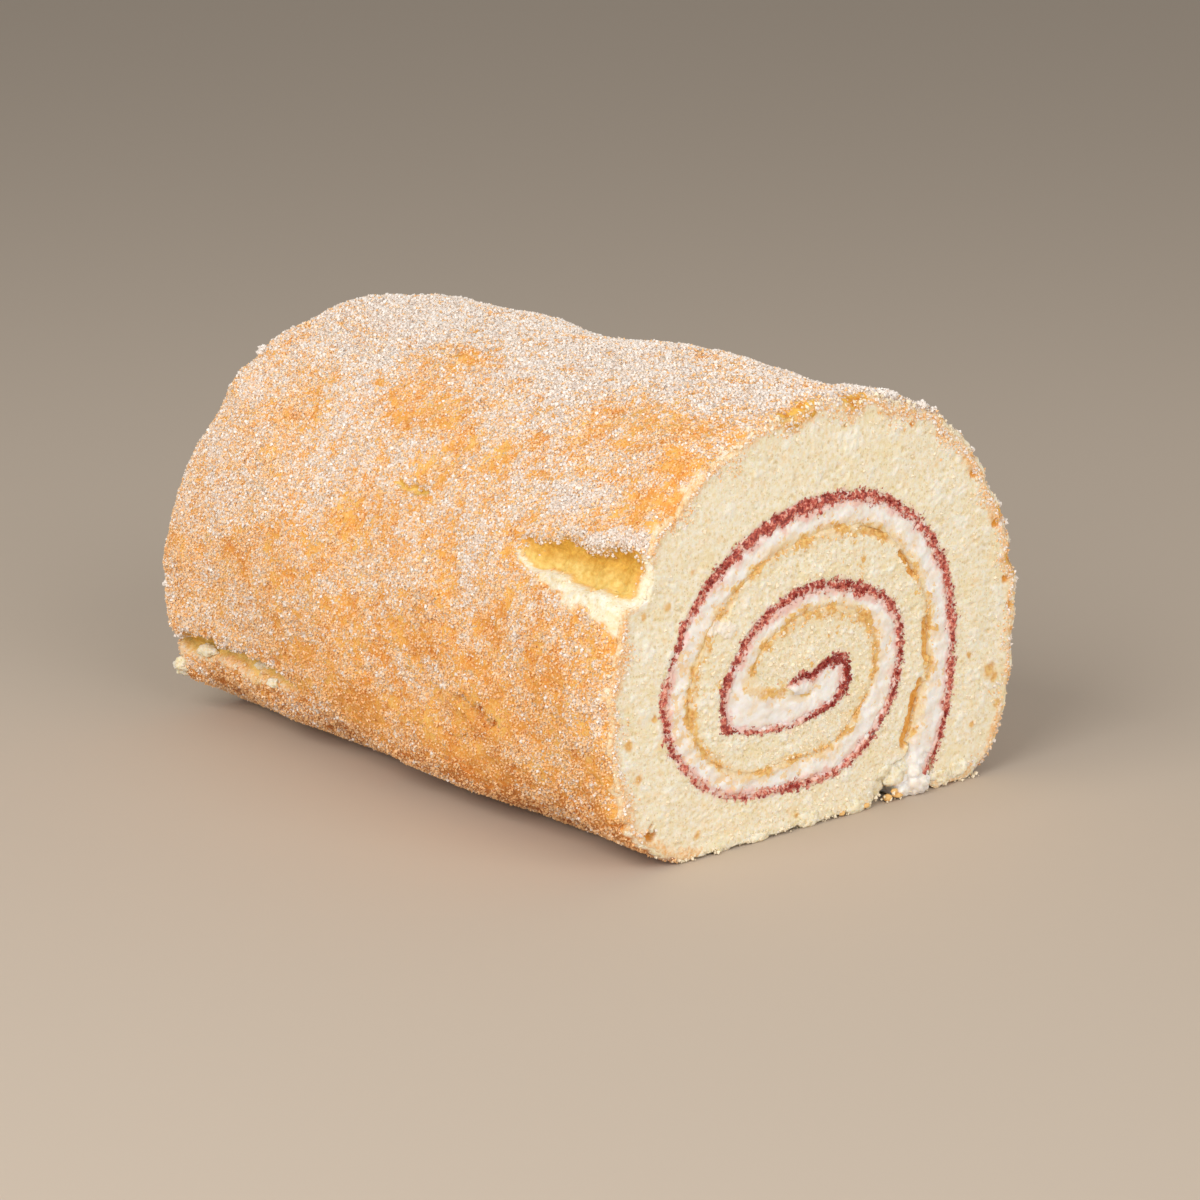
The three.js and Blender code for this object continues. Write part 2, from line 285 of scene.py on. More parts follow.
# %% Noise and pores
def rough(points, size, seed=0):
    """Smooth noise, about -1 to 1, whose lumps are about `size` across."""
    spread = np.asarray(points) / size + np.array([17.3, 5.1, 11.9]) * (seed + 1)
    return np.array([noise.noise(p) for p in spread.tolist()])


def added(noise_at, layers):
    """The sum of several noises, each given by its height, its size and its seed."""
    return sum(height * noise_at(size, seed) for height, size, seed in layers)


def pores(points, size, share, seed=0):
    """Round hollows: 1 in the middle of a pore, 0 outside. `share` of the cells hold one."""
    spread = np.asarray(points) / size + np.array([3.7, 29.1, 8.3]) * (seed + 1)
    found = [noise.voronoi(p) for p in spread.tolist()]
    nearest = np.array([distances[0] for distances, _ in found])
    centres = np.array([list(places[0]) for _, places in found])
    luck = np.modf(np.abs(np.sin(centres @ np.array([12.9, 78.2, 37.7])) * 43758.5))[0]
    return ease(nearest, 0.42, 0.12) * (luck < share)


# %% [markdown]
# ## Meshes from grids
#
# All the big pieces are grids of points that are bent into place, because a grid is quick to make with
# numpy, keeps its cells even, and lets a formula move every point. Each one is closed into a solid: two
# faces and the wall between their edges, which is zipped up even where one edge has more points.


# %% Grid helpers
def grid_faces(ids, flipped=False):
    """Quads between neighbouring entries of a 2-D array of vertex numbers."""
    quads = np.stack([ids[:-1, :-1], ids[1:, :-1], ids[1:, 1:], ids[:-1, 1:]], -1).reshape(-1, 4)
    return (quads[:, ::-1] if flipped else quads).tolist()


def edge_loop(ids):
    """The vertex numbers round a grid, and how far round each one is, from 0 to 4."""
    sides = [ids[:-1, 0], ids[-1, :-1], ids[:0:-1, -1], ids[0, :0:-1]]
    round_it = [k + np.arange(len(side)) / len(side) for k, side in enumerate(sides)]
    return np.concatenate(sides), np.concatenate(round_it)


def zip_loops(first, second):
    """Triangles of the wall between two loops of (vertex numbers, how far round)."""
    (a, at_a), (b, at_b) = first, second
    faces = []
    i = j = 0
    while i < len(a) or j < len(b):
        next_a = at_a[i + 1] if i + 1 < len(a) else 4.0
        next_b = at_b[j + 1] if j + 1 < len(b) else 4.0
        if j >= len(b) or (i < len(a) and next_a <= next_b):
            faces.append((a[i], b[j % len(b)], a[(i + 1) % len(a)]))
            i += 1
        else:
            faces.append((a[i % len(a)], b[j], b[(j + 1) % len(b)]))
            j += 1
    return [tuple(int(v) for v in face) for face in faces]


# %% From points to a piece
def make_piece(name, points, faces, smooth=True, **values):
    """A closed mesh from points in millimetres, with its faces turned out and its own values stored."""
    mesh = bpy.data.meshes.new(name)
    mesh.from_pydata((np.asarray(points) * MM).tolist(), [], faces)
    shell = bmesh.new()
    shell.from_mesh(mesh)
    volume = shell.calc_volume(signed=True)
    if volume < 0:
        bmesh.ops.reverse_faces(shell, faces=shell.faces)
        shell.to_mesh(mesh)
    open_edges = sum(not edge.is_manifold for edge in shell.edges)
    shell.free()
    for key, value in values.items():
        mesh.attributes.new(key, "FLOAT", "POINT").data.foreach_set("value", np.asarray(value, np.float32))
    if smooth:
        mesh.shade_smooth()
    triangles = sum(len(p.vertices) - 2 for p in mesh.polygons)
    print(f"{name}: {triangles} triangles, {abs(volume) / MM**3 / 1000:.1f} cm3, {open_edges} open edges")
    return add_object(name, mesh)


# %% [markdown]
# ## The baked outside
#
# The baked side of a sponge sheet is a thin leathery skin. Rolled up, it wrinkles, dents and splits.
# The skin here is one grid of cells just over half a millimetre wide, bent round the section and run
# along the roll. Big soft waves, bumps and cracks come from the same values as the solid's, and finer
# wrinkles and pits are added on top.

# %% Waves, bumps and cracks of the skin
WAVES = [
    # height, waves round the roll, waves along it, shift
    (0.7, 3, 1.3, 0.4),
    (0.5, 5, 2.1, 1.9),
    (0.45, 8, 2.9, 4.0),
    (0.3, 13, 4.3, 2.2),
]
WAVES_FULL_FROM = 0.08
TOP_SAG = 1.2
SAG_STEEPNESS = 0.3
FOOT_CALM_HEIGHT = 6
BUMPS = [
    # angle, distance from the cut end, reach across, reach along, height
    (199, 127, 4.5, 5.0, 2.6),
    (187, 124, 5.0, 4.0, 1.5),
    (168, 121, 4.5, 4.0, 1.2),
    (129, 124, 4.5, 4.0, 1.7),
    (115, 123, 4.5, 3.5, 1.3),
    (139, 12, 3.5, 13.0, 1.3),
    (155, 10, 4.0, 12.0, 0.9),
    (188, 38, 4.5, 6.0, -0.8),
    (106, 76, 2.5, 9.0, -0.7),
    # small pits and creases, too fine for the solid
    (104, 73, 0.8, 4.5, -1.0),
    (107, 79, 0.9, 3.0, -0.8),
    (133, 106, 1.2, 6.0, -1.1),
    (176, 100, 1.2, 1.8, -1.0),
    (172, 27, 1.3, 2.0, -0.8),
    (120, 98, 1.0, 2.0, -0.9),
]
CRACKS = [
    # angles of the two ends, their distances from the cut end, width and depth, reach of the torn lips,
    # how ragged it is, and whether it closes at both ends
    dict(angle=(146, 146.4), along=(-4, 30), width=8.6, depth=4.3, lips=0.8, tear=1.0, both=False),
    dict(angle=(194, 190), along=(91, 136), width=4.2, depth=2.9, lips=0.2, tear=2.6, both=True),
    dict(angle=(141, 140.5), along=(59, 69), width=1.6, depth=1.3, lips=0.2, tear=1.0, both=True),
    dict(angle=(185, 181), along=(28, 41), width=2.6, depth=2.0, lips=0.1, tear=1.8, both=True),
]
CRACK_MOUTH = 6
CRACK_WANDER = (0.5, 17)
CRACK_BLUNTNESS = 0.3
THINNEST_END = 0.002
RIM_TEARS = [(0.35, 23, 0.3), (0.3, 41, 1.7), (0.2, 9, 2.6)]
NEAR_ROUND = 1.4
NEAR_ROUND_LENGTH = 4
NEAR_ROUND_ANGLES = (45, 80)
FAR_ROUND = 3.6
RIM_LIFT = 18


# %% Forms of the skin
def swell(angle, distance, length):
    """How far the skin stands proud of its even curve."""
    turn, along = np.radians(angle), distance / length
    waves = sum(
        height * np.sin(around * turn + shift) * np.sin(2 * np.pi * lengthwise * along + shift * around)
        for height, around, lengthwise, shift in WAVES
    )
    bumps = 0
    for centre, place, across, reach, height in BUMPS:
        aside = np.radians(angle - centre) * outside_curve(angle) / across
        bumps = bumps + height * np.exp(-(aside**2) - ((along * LENGTH - place) / reach) ** 2)
    sag = TOP_SAG * np.sin(np.pi * along) * ease(np.sin(turn), SAG_STEEPNESS, 1)
    return waves * ease(along, 0, WAVES_FULL_FROM) + bumps - sag


def rim_inset(angle, z, from_near, from_far):
    """How far the rim draws in near the two ends, unevenly where it was cut."""
    near = np.clip(1 - from_near / NEAR_ROUND_LENGTH, 0, 1)
    far = np.clip(1 - from_far / FAR_ROUND, 0, 1)
    tears = sum(height * np.sin(around * np.radians(angle) + shift) for height, around, shift in RIM_TEARS)
    rounding = NEAR_ROUND * near**2 * ease(angle, *NEAR_ROUND_ANGLES)
    return (rounding + FAR_ROUND * (1 - np.sqrt(1 - far**2)) + tears * near) * ease(z, 0, RIM_LIFT)


def crack_shape(index, angle, distance, ragged):
    """How deep one crack is at each point, and how far across its mouth the point is, from -1 to 1."""
    crack = CRACKS[index]
    start, end = crack["along"]
    run = (distance - start) / (end - start)
    inside = (run > 0) & (run < 1)
    run = np.clip(run, 0, 1)
    closed = np.sin(np.pi * run) if crack["both"] else 1 - run
    wander = CRACK_WANDER[0] * np.sin(CRACK_WANDER[1] * run + index)
    centre = crack["angle"][0] + (crack["angle"][1] - crack["angle"][0]) * run + wander
    half = crack["width"] / 2 * np.maximum(closed, THINNEST_END) ** CRACK_BLUNTNESS + 0.1
    across = (np.radians(angle - centre) * outside_curve(angle) + crack["tear"] * ragged) / half
    at_mouth = ease(distance, CRACK_MOUTH, 0)
    upper_side = ease((across + 1.15 + 0.3 * at_mouth) / (0.25 + 0.7 * at_mouth), 0, 1)
    lower_side = ease((1.15 + 0.4 * at_mouth - across) / (0.6 + 0.6 * at_mouth), 0, 1)
    deepest = crack["depth"] * np.sqrt(np.maximum(closed, 0)) * (1 - 0.3 * at_mouth)
    return deepest * upper_side * lower_side * inside, across, run


# %% Sides of the sheet
SKIN_END = 302
OUTER_TURN_END = 300
INNER_TURNS_FROM = 330


def sheet_outer(angle):
    """Outer side of the sheet: on the skin, through the notch, then along the crust further in."""
    inner_turn = crust_radius(np.minimum(angle, SHEET_INNER_END) - 360)
    outer = np.where(angle > INNER_TURNS_FROM, inner_turn, notch_curve(angle))
    return np.where(angle < SKIN_END, outside_radius(angle), outer)


SHEET_START, SHEET_START_RADIUS = to_polar(SHEET_FOOT)


def sheet_inner(angle):
    """Inner, spread side of the sheet, from its end on the board to its tip in the middle."""
    foot = (SPREAD_START - angle) / (SPREAD_START - SHEET_START)
    foot_radius = spread_radius(SPREAD_START) + (SHEET_START_RADIUS - spread_radius(SPREAD_START)) * foot
    past = np.clip((angle - SHEET_INNER_END) / (INNER_TIP[0] - SHEET_INNER_END), 0, 1)
    end_radius = spread_radius(SHEET_INNER_END)
    tip = end_radius + (INNER_TIP[1] - end_radius) * past
    inner = np.where(angle > SHEET_INNER_END, tip, spread_radius(angle))
    return np.where(angle < SPREAD_START, foot_radius, inner)


# %% The skin's grid
SKIN_CELL = 0.58
UNDERSIDE_CELL = 3.0
SKIN_ANGLES = (-36, SKIN_END)
RIM_ROUND = 1.2
TUCKS = [
    # how deep the rim is tucked in, and how far from the cut that is
    (3.6, 2.3),
    (2.5, 1.3),
    (1.8, 0.6),
    (1.25, 0.25),
    (0.89, 0.12),
    (0.6, 0.18),
    (0.35, 0.35),
    (0.16, 0.6),
    (0.04, 0.89),
]


def skin_cell(angle):
    """Fine cells where the skin is on show, coarse ones on the underside."""
    on_show = ease(angle, -33.5, -31.5) * ease(angle, 224, 221)
    return UNDERSIDE_CELL + (SKIN_CELL - UNDERSIDE_CELL) * on_show


skin_angles = even_angles(*SKIN_ANGLES, outside_radius, skin_cell)
tucks = np.array(TUCKS)
stations = np.linspace(0, 1, int(LENGTH / SKIN_CELL) - 2)
columns, rows = len(skin_angles), len(stations) + 2 * len(tucks)
angle_grid = np.repeat(skin_angles[:, None], rows, 1)
length_grid = far_end(to_section(angle_grid, outside_radius(angle_grid))[1]) - NEAR
middle = RIM_ROUND + stations[None, :] * (length_grid[:, :1] - 2 * RIM_ROUND)
near_tuck = np.repeat(tucks[None, :, 1], columns, 0)
far_tuck = length_grid[:, :1] - tucks[None, ::-1, 1]
distance_grid = np.concatenate([near_tuck, middle, far_tuck], 1)
tuck_grid = np.concatenate([tucks[:, 0], np.zeros(len(stations)), tucks[::-1, 0]])[None, :]
print("skin grid:", columns, "columns of", rows, "points")


# %% [markdown]
# ### The cut rim
#
# The knife rubs some crust off the rim and drags the rest down over the face in short tongues. The last
# rows of the grid are tucked in towards the middle, so that the skin turns over the rim with a round
# edge. Where a tongue hangs, they reach further down and stand a little proud of the face.


# %% The rim of the cut end
RIM_BARE = [(-40, -0.2), (0, -0.2), (60, 0.0), (85, 0.2), (105, 0.0), (130, 0.3), (160, 0.4), (190, -0.2)]
RIM_BARE += [(215, 0.4), (225, 3.5), (302, 3.5)]
FLAPS = [
    # tongues of crust torn down over the cut face: angle, width, length in mm
    (94.5, 11.0, 0.9),
    (79.5, 8.0, 0.6),
    (65, 6.0, 0.3),
    (55, 3.0, 0.3),
    (28, 4.0, 0.4),
    (17, 7.0, 0.4),
]
rim_bare_curve = curve_through(RIM_BARE)


def flap_length(angle):
    """How far down over the cut face the crust hangs, in millimetres."""
    length = 0
    for centre, width, longest in FLAPS:
        aside = np.radians(angle - centre) * outside_curve(angle) / (width / 2)
        length = np.maximum(length, longest * ease(np.abs(aside), 1.1, 0.5))
    return length


def bare_rim(angle, distance, field):
    """Where the knife has rubbed the crust off the near rim and the crumb shows."""
    width = rim_bare_curve(angle) - 2.5 * flap_length(angle) + 2.0 * field(3.4, 36) + 1.4 * field(1.2, 37)
    return ease(width - distance, -1.4, 1.2)


# %% [markdown]
# ### Cracks
#
# A crack opens where the skin was rolled too tightly. Its floor is yellow, steamed crumb, its lower lip
# is torn and pale, and sugar lodges on its upper lip. How far across and along the crack a point lies
# gives all of these, with one ragged noise shared between them, so that their edges agree.


# %% How a crack changes the skin
def crack_marks(index, angle, distance, ragged):
    """How deep a crack is at each point, where it shows yellow, torn and frosted crumb, and how pale its
    floor is away from the painted shade under the upper lip.
    """
    crack = CRACKS[index]
    cut, across, run = crack_shape(index, angle, distance, ragged)
    on_run = (run > 0) & (run < 1)
    share = cut / crack["depth"]
    in_light = ease(distance + 2.2 * ragged, 0.3, 3.8)
    yellow = ease(share + 0.3 * ragged, 0.1, 0.35) * ease(across + 0.3 * ragged, 1.0, 0.55) * in_light
    # pale is 0 under the upper lip and 1 towards the lower one: the floor is painted darker under the upper
    # lip, as shade.
    pale = ease(across + 0.3 * ragged, -0.8, 0.9) * (cut > 0)
    beside = crack["lips"] * (1 if crack["both"] else np.sqrt(np.clip(1 - run * 1.3, 0, 1)))
    lip_edge = across + 0.4 * ragged
    below = ease(across, 0.5, 0.85) * ease(lip_edge, 1.3 + 1.4 * beside, 1.0 + 1.2 * beside)
    above = ease(lip_edge, -1.3 - 1.3 * beside, -1.1 - 1.0 * beside) * ease(across, -0.7, -1.0)
    torn_lip = below * on_run * ease(crack["lips"], 0.1, 0.3)
    torn_mouth = ease(share, 0.04, 0.25) * (1 - in_light) * (index == 0)
    return {
        "depth": cut,
        "gold": yellow * (share > 0) * ease(crack["lips"], 0.1, 0.2),
        "pale_floor": pale,
        "torn": np.maximum(torn_lip, torn_mouth),
        "frosted": above * on_run,
    }


# %% Points of the skin
SKIN_LUMPS = [(0.42, 4.6, 12), (0.4, 2.0, 13), (0.3, 1.0, 14)]
WRINKLES = [(0.5, 9.0, 1), (0.3, 4.2, 2), (0.2, 2.0, 3), (0.12, 1.1, 4)]
TEAR_EDGE = [(0.7, 2.8, 31), (0.25, 1.3, 32)]
TORN_CRUMB = [(0.25, 1.6, 34), (0.25, 0.8, 35)]
CRACK_FLOOR = [(0.5, 1.7, 39), (0.35, 0.8, 40)]
SKIN_CREASE = 0.5
SKIN_PIT = 0.55


def skin_points(angle, distance, length, tuck=0.0):
    """Points of the skin and the values that its finish needs."""
    x, z = to_section(angle, outside_radius(angle))
    flat = np.stack([x, NEAR + distance, z], -1).reshape(-1, 3)
    shape = np.broadcast(angle, distance).shape
    calm = ease(z, 0.0, FOOT_CALM_HEIGHT)
    on_skin = ((angle > OUTSIDE[0][0]) & (angle < OUTSIDE[-1][0])).astype(float)

    def field(size, seed):
        return rough(flat, size, seed).reshape(shape)

    ragged = added(field, TEAR_EDGE)
    lumps = added(field, SKIN_LUMPS)
    raised = swell(angle, np.clip(distance, 0, length), length)
    creases = -SKIN_CREASE * ease(np.abs(field(6.5, 5)), 0.07, 0.0) * ease(field(14, 6), -0.1, 0.3)
    pits = -SKIN_PIT * pores(flat * [1, 0.7, 1], 3.4, 0.2, 7).reshape(shape)
    lump_height = 0.28 + 0.16 * ease(angle, 100, 125)
    raised = (raised + added(field, WRINKLES) + creases + pits + lump_height * lumps) * calm
    marks = {"depth": 0, "gold": 0, "pale_floor": 0, "frosted": 0, "torn": bare_rim(angle, distance, field)}
    for index in range(len(CRACKS)):
        for key, value in crack_marks(index, angle, distance, ragged).items():
            marks[key] = np.maximum(marks[key], value)
    marks["torn"] = marks["torn"] * (1 - marks["gold"])
    raised = raised + marks["torn"] * added(field, TORN_CRUMB) + 0.35 * marks["frosted"] * field(1.6, 38)
    raised = raised + marks["gold"] * added(field, CRACK_FLOOR)
    amber = ease(flap_length(angle), 0.1, 0.6) * ease(distance + 1.5 * ragged, 2.6, 0.6)
    inset = rim_inset(angle, z, np.clip(distance, 0, None), np.clip(length - distance, 0, None))
    radius = outside_radius(angle) + raised - inset - marks["depth"] - tuck
    px, pz = to_section(angle, radius)
    points = np.stack([px, np.broadcast_to(NEAR + distance, shape), pz], -1)
    marks.update(calm=calm, show=on_skin, lumps=lumps, amber=amber)
    return points, marks, radius


# %% Bend the grid into the skin, and curl its near rim over the cut
rim_line = np.stack([skin_angles * 0.9, skin_angles * 0, skin_angles * 0], -1)
near_end = distance_grid < LENGTH / 2
ragged_rim = 0.85 + 0.3 * rough(rim_line, 3.1, 9)
hanging = flap_length(skin_angles) * (0.85 + 0.5 * rough(rim_line, 1.8, 10))
over_face = ease(tuck_grid, 0.5, 1.8) * near_end
tuck_sizes = tuck_grid * ragged_rim[:, None] + over_face * hanging[:, None]
hidden = 1 - ease(skin_angles, -33, -31) * ease(skin_angles, 223, 220)
in_tuck = (tuck_grid > 0.05) & near_end
distance_grid = distance_grid + in_tuck * 0.8 * hidden[:, None]
distance_grid = distance_grid - over_face * 0.5 * np.clip(hanging, 0, 1)[:, None]
rim_noise = rough(np.stack([skin_angles * 0.9, skin_angles * 0 + 4, skin_angles * 0], -1), 1.3, 19)
distance_grid = distance_grid + in_tuck * 0.06 * rim_noise[:, None]
skin, skin_values, skin_radius = skin_points(angle_grid, distance_grid, length_grid, tuck_sizes)
print("skin, mm across:", [round(float(side), 1) for side in np.ptp(skin, (0, 1))])

# %% [markdown]
# ### A crust with thickness
#
# Each piece is a closed solid, as real cake is and as an export needs it. Two hidden points are
# added to every column, inside the skin and set back from both ends, and the column becomes a loop.

# %% Close the skin into a thick crust
CRUST_DEPTH = 8.0
CRUST_SHARE = 0.6
CRUST_SETBACK = 9.0
thickness = np.minimum(CRUST_DEPTH, CRUST_SHARE * (sheet_outer(skin_angles) - sheet_inner(skin_angles)))
inner_radius = outside_radius(skin_angles) - thickness
inner_x, inner_z = to_section(skin_angles, inner_radius)
inner_near = np.stack([inner_x, np.full(columns, NEAR + CRUST_SETBACK), inner_z], -1)
inner_far = np.stack([inner_x, np.full(columns, FAR - CRUST_SETBACK), inner_z], -1)
crust_points = np.concatenate([skin, inner_far[:, None], inner_near[:, None]], 1)
loop_length = rows + 2
crust_ids = np.arange(columns * loop_length).reshape(columns, loop_length)
closed_ids = np.concatenate([crust_ids, crust_ids[:, :1]], 1)
crust_faces = grid_faces(closed_ids) + [crust_ids[0].tolist(), crust_ids[-1, ::-1].tolist()]


def with_inner(values):
    """The skin's values, and zeros for the two hidden points of each column."""
    return np.concatenate([np.broadcast_to(values, (columns, rows)), np.zeros((columns, 2))], 1).ravel()


# %% [markdown]
# ## Where the sugar lies
#
# The roll is tipped out on to sugar, so the side that was underneath and the top ridge are almost
# white, while the flanks keep bare golden patches where grains have been rubbed off. One value from 0
# to 1 says how well each spot is covered. The grains are scattered by it, and the skin's own colour
# uses it for the fine dust between them.

# %% Sugar cover
COVER_BY_ANGLE = [(-40, 0.75), (0, 0.85), (50, 1.0), (85, 1.05), (100, 0.9), (110, 0.74), (125, 0.64)]
COVER_BY_ANGLE += [(150, 0.62), (175, 0.54), (188, 0.3), (200, 0.16), (215, 0.1), (230, 0.1), (300, 0.1)]
WHITE_BY_ANGLE = [(-40, 0.6), (0, 0.7), (50, 0.95), (85, 1.0), (100, 0.85), (112, 0.6), (130, 0.5)]
WHITE_BY_ANGLE += [(150, 0.42), (175, 0.35), (188, 0.2), (215, 0.1), (302, 0.1)]
RUBBED = [
    # patches with more sugar or less: angle, distance from the cut end, reach across, reach along, change
    (106, 76, 2.6, 5.0, -0.8),
    (111, 17, 7.0, 13.0, -0.35),
    (117, 32, 4.0, 3.0, -0.3),
    (125, 69, 4.0, 10.0, -0.45),
    (135, 61, 6.0, 5.0, -0.4),
    (124, 42, 2.5, 9.0, -0.3),
    (134, 105, 2.5, 3.0, -0.5),
    (144, 103, 3.0, 2.5, -0.3),
    (148, 77, 8.0, 5.0, -0.4),
    (156, 47, 6.0, 3.5, -0.45),
    (157, 57, 4.0, 3.0, -0.25),
    (165, 108, 4.0, 6.0, -0.4),
    (168, 19, 7.0, 2.0, -0.45),
    (172, 75, 3.0, 6.0, -0.35),
    (174, 28, 3.0, 3.0, -0.4),
    (183, 35, 3.0, 6.0, -0.5),
    (188, 60, 4.0, 9.0, -0.45),
    (135, 6, 4.0, 3.0, -0.4),
    (112, 46, 6.0, 5.0, 0.35),
    (104, 58, 4.0, 8.0, 0.3),
    (134, 22, 4.0, 7.0, 0.5),
    (143, 90, 6.0, 7.0, 0.25),
    (152, 40, 7.0, 2.0, 0.3),
    (114, 96, 6.0, 9.0, 0.3),
]

# %% Work out how thick and how white the sugar lies
LEAST_COVER = 0.03
LEAST_WHITE = 0.05
KEPT_BARE = 0.85

cover_curve = curve_through(COVER_BY_ANGLE)
white_curve = curve_through(WHITE_BY_ANGLE)
skin_flat = skin.reshape(-1, 3)
wide_patches = 0.48 * rough(skin_flat, 13, 11).reshape(columns, rows)
far_dust = 0.35 * ease(distance_grid, 80, 115)
for centre, place, across, reach, change in RUBBED:
    aside = np.radians(angle_grid - centre) * outside_radius(angle_grid) / across
    wide_patches = wide_patches + 1.2 * change * np.exp(-(aside**2) - ((distance_grid - place) / reach) ** 2)
cover = cover_curve(angle_grid) + wide_patches + far_dust + 1.6 * skin_values["lumps"]
cover = np.clip(cover + 0.7 * skin_values["frosted"], LEAST_COVER, 1) * (1 - skin_values["gold"])
cover = cover * (1 - KEPT_BARE * skin_values["torn"]) * (1 - KEPT_BARE * skin_values["amber"])
white = white_curve(angle_grid) + 0.8 * wide_patches + 0.6 * skin_values["lumps"]
white = np.clip(white + 0.6 * skin_values["frosted"] + 0.3 * far_dust, LEAST_WHITE, 1)
# Painted shade: the low side near the board is painted browner, standing in for the shade there.
low_side_shade = 0.28 * ease(angle_grid, 190, 207)
print("mean sugar cover:", round(float(cover.mean()), 2))

# %% Make the crust
crust = make_piece(
    "crust",
    crust_points.reshape(-1, 3),
    crust_faces,
    gold=with_inner(skin_values["gold"]),
    amber=with_inner(skin_values["amber"]),
    pale_floor=with_inner(skin_values["pale_floor"]),
    torn=with_inner(skin_values["torn"]),
    cover=with_inner(cover),
    white=with_inner(white),
    # foot is painted shade: the crust is painted browner near the board and up the low side.
    foot=with_inner(np.maximum(1 - skin_values["calm"], low_side_shade)),
)
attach(crust, "root")
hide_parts("sponge")

# %% [markdown]
# ## The cut faces
#
# The knife opens three layers at once. Each is a ribbon that winds in along the spiral, with a fine
# grid at the near face and a coarser one at the far face. The ribbons overlap a little, and each has
# its own roughness, so the line where one dips below the other comes out ragged, as it does in cake.
# Between the two faces runs a plain wall that nobody sees.


# %% The grid of one cut face
def ribbon_grid(angles, outer, inner, row_count, relief, at_far_end):
    """Points of one cut face of a layer. relief(x, z, share) is how far it is sunk at each point."""
    share = np.linspace(0, 1, row_count)[None, :]
    angle = angles[:, None]
    outer = outer[at_far_end] if isinstance(outer, tuple) else outer
    radius = outer(angles)[:, None] * (1 - share) + inner(angles)[:, None] * share
    x, z = to_section(angle, radius)
    sunk, values = relief(angle, radius, x, z, share)
    y = far_end(z) - sunk if at_far_end else NEAR + sunk
    return np.stack([x, y, z], -1), values


# %% A ribbon that runs through the whole roll
FAR_COARSENESS = 3
FEWEST_ROWS = 4
OFF_MIDDLE = 1.0


def ribbon_piece(name, ends, outer, inner, cell, row_count, relief, shoulder=None):
    """One layer of the roll, with its two cut faces and the hidden wall between them."""
    first_outer = outer[0] if isinstance(outer, tuple) else outer

    def middle_radius(angle):
        """Half way across the layer, and a little out, so that steps don't crowd in the eye."""
        return (first_outer(angle) + inner(angle)) / 2 + OFF_MIDDLE

    grids = []
    for at_far_end in (False, True):
        coarser = FAR_COARSENESS if at_far_end else 1
        angles = even_angles(*ends, middle_radius, cell * coarser)
        count = max(row_count // coarser, FEWEST_ROWS)
        grids.append(ribbon_grid(angles, outer, inner, count, relief, at_far_end))
    points = [grid.reshape(-1, 3) for grid, _ in grids]
    near_ids = np.arange(len(points[0])).reshape(grids[0][0].shape[:2])
    far_ids = len(points[0]) + np.arange(len(points[1])).reshape(grids[1][0].shape[:2])
    faces = grid_faces(near_ids) + grid_faces(far_ids, flipped=True)
    loops = [edge_loop(near_ids), edge_loop(far_ids)]
    total = len(points[0]) + len(points[1])
    values = {key: [grids[0][1][key].ravel(), grids[1][1][key].ravel()] for key in grids[0][1]}
    if shoulder:
        # a second loop behind each face, so that the wall starts under the crust
        everything = np.concatenate(points)
        for k, direction in ((0, 1), (1, -1)):
            ids, at = loops[k]
            inset = shoulder(everything[ids], direction)
            points.append(inset)
            new_ids = total + np.arange(len(ids))
            total += len(ids)
            pair = [(ids, at), (new_ids, at)]
            faces += zip_loops(*(pair if k == 0 else pair[::-1]))
            loops[k] = (new_ids, at)
            for key in values:
                values[key].append(np.zeros(len(ids)))
    faces += zip_loops(*loops)
    stored = {key: np.concatenate(parts) for key, parts in values.items()}
    return make_piece(name, np.concatenate(points), faces, **stored)


# %% [markdown]
# ### How the layers vary along the spiral
#
# Nobody spreads jam evenly. Its thickness, its darkness, the width of the baked line beside the cream
# and how messy the filling is are each one curve over the angle, from the outer end of the sheet at
# about -30 degrees to its tip in the middle at 889.

# %% Curves along the spiral
JAM_THICKNESS = [(-31, 0.9), (0, 1.4), (40, 1.4), (70, 1.5), (100, 1.9), (130, 1.6), (150, 0.9), (180, 0.8)]
JAM_THICKNESS += [(210, 0.5), (240, 0.8), (300, 0.7), (330, 1.0), (390, 1.3), (450, 1.4), (500, 1.3)]
JAM_THICKNESS += [(540, 1.3), (560, 0.5), (620, 0.6), (700, 1.0), (740, 1.7), (780, 1.7), (810, 1.0)]
JAM_THICKNESS += [(866, 0.6), (878, -0.6), (889, -2)]
JAM_DARKNESS = [(-31, 0.5), (0, 0.5), (40, 0.6), (90, 0.8), (130, 0.8), (145, 0.3), (157, 0.9), (165, 0.2)]
JAM_DARKNESS += [(180, 0.5), (200, 0.15), (230, 0.1), (250, 0.6), (280, 0.2), (330, 0.5), (400, 0.6)]
JAM_DARKNESS += [(450, 0.5), (500, 0.5), (547, 0.9), (565, 0.2), (640, 0.3), (700, 0.7), (760, 0.95)]
JAM_DARKNESS += [(800, 0.5), (874, 0.2)]
CRUST_LINE = [(325, 0.2), (335, 1.4), (350, 1.0), (370, 1.7), (400, 1.5), (425, 2.1), (445, 1.9), (470, 1.0)]
CRUST_LINE += [(500, 1.5), (520, 1.9), (540, 1.7), (575, 0.9), (600, 0.7), (630, 1.1), (660, 0.7)]
CRUST_LINE += [(690, 0.3), (715, 0.6), (740, 1.4), (790, 2.2), (830, 1.9), (860, 1.1), (889, 0.6)]
MESS = [(-31, 0.3), (120, 0.3), (160, 0.9), (205, 1.0), (245, 0.8), (290, 0.5), (330, 0.3), (889, 0.3)]

jam_thickness = curve_through(JAM_THICKNESS)
jam_darkness = curve_through(JAM_DARKNESS)
crust_line_width = curve_through(CRUST_LINE)
mess_curve = curve_through(MESS)

# %% Noise on a cut face
NOISE_PLANE = 7.7
PORE_PLANE = 3.3


def face_noise(x, z, size, seed):
    flat = np.stack([x, np.full_like(x, NOISE_PLANE), z], -1).reshape(-1, 3)
    return rough(flat, size, seed).reshape(x.shape)


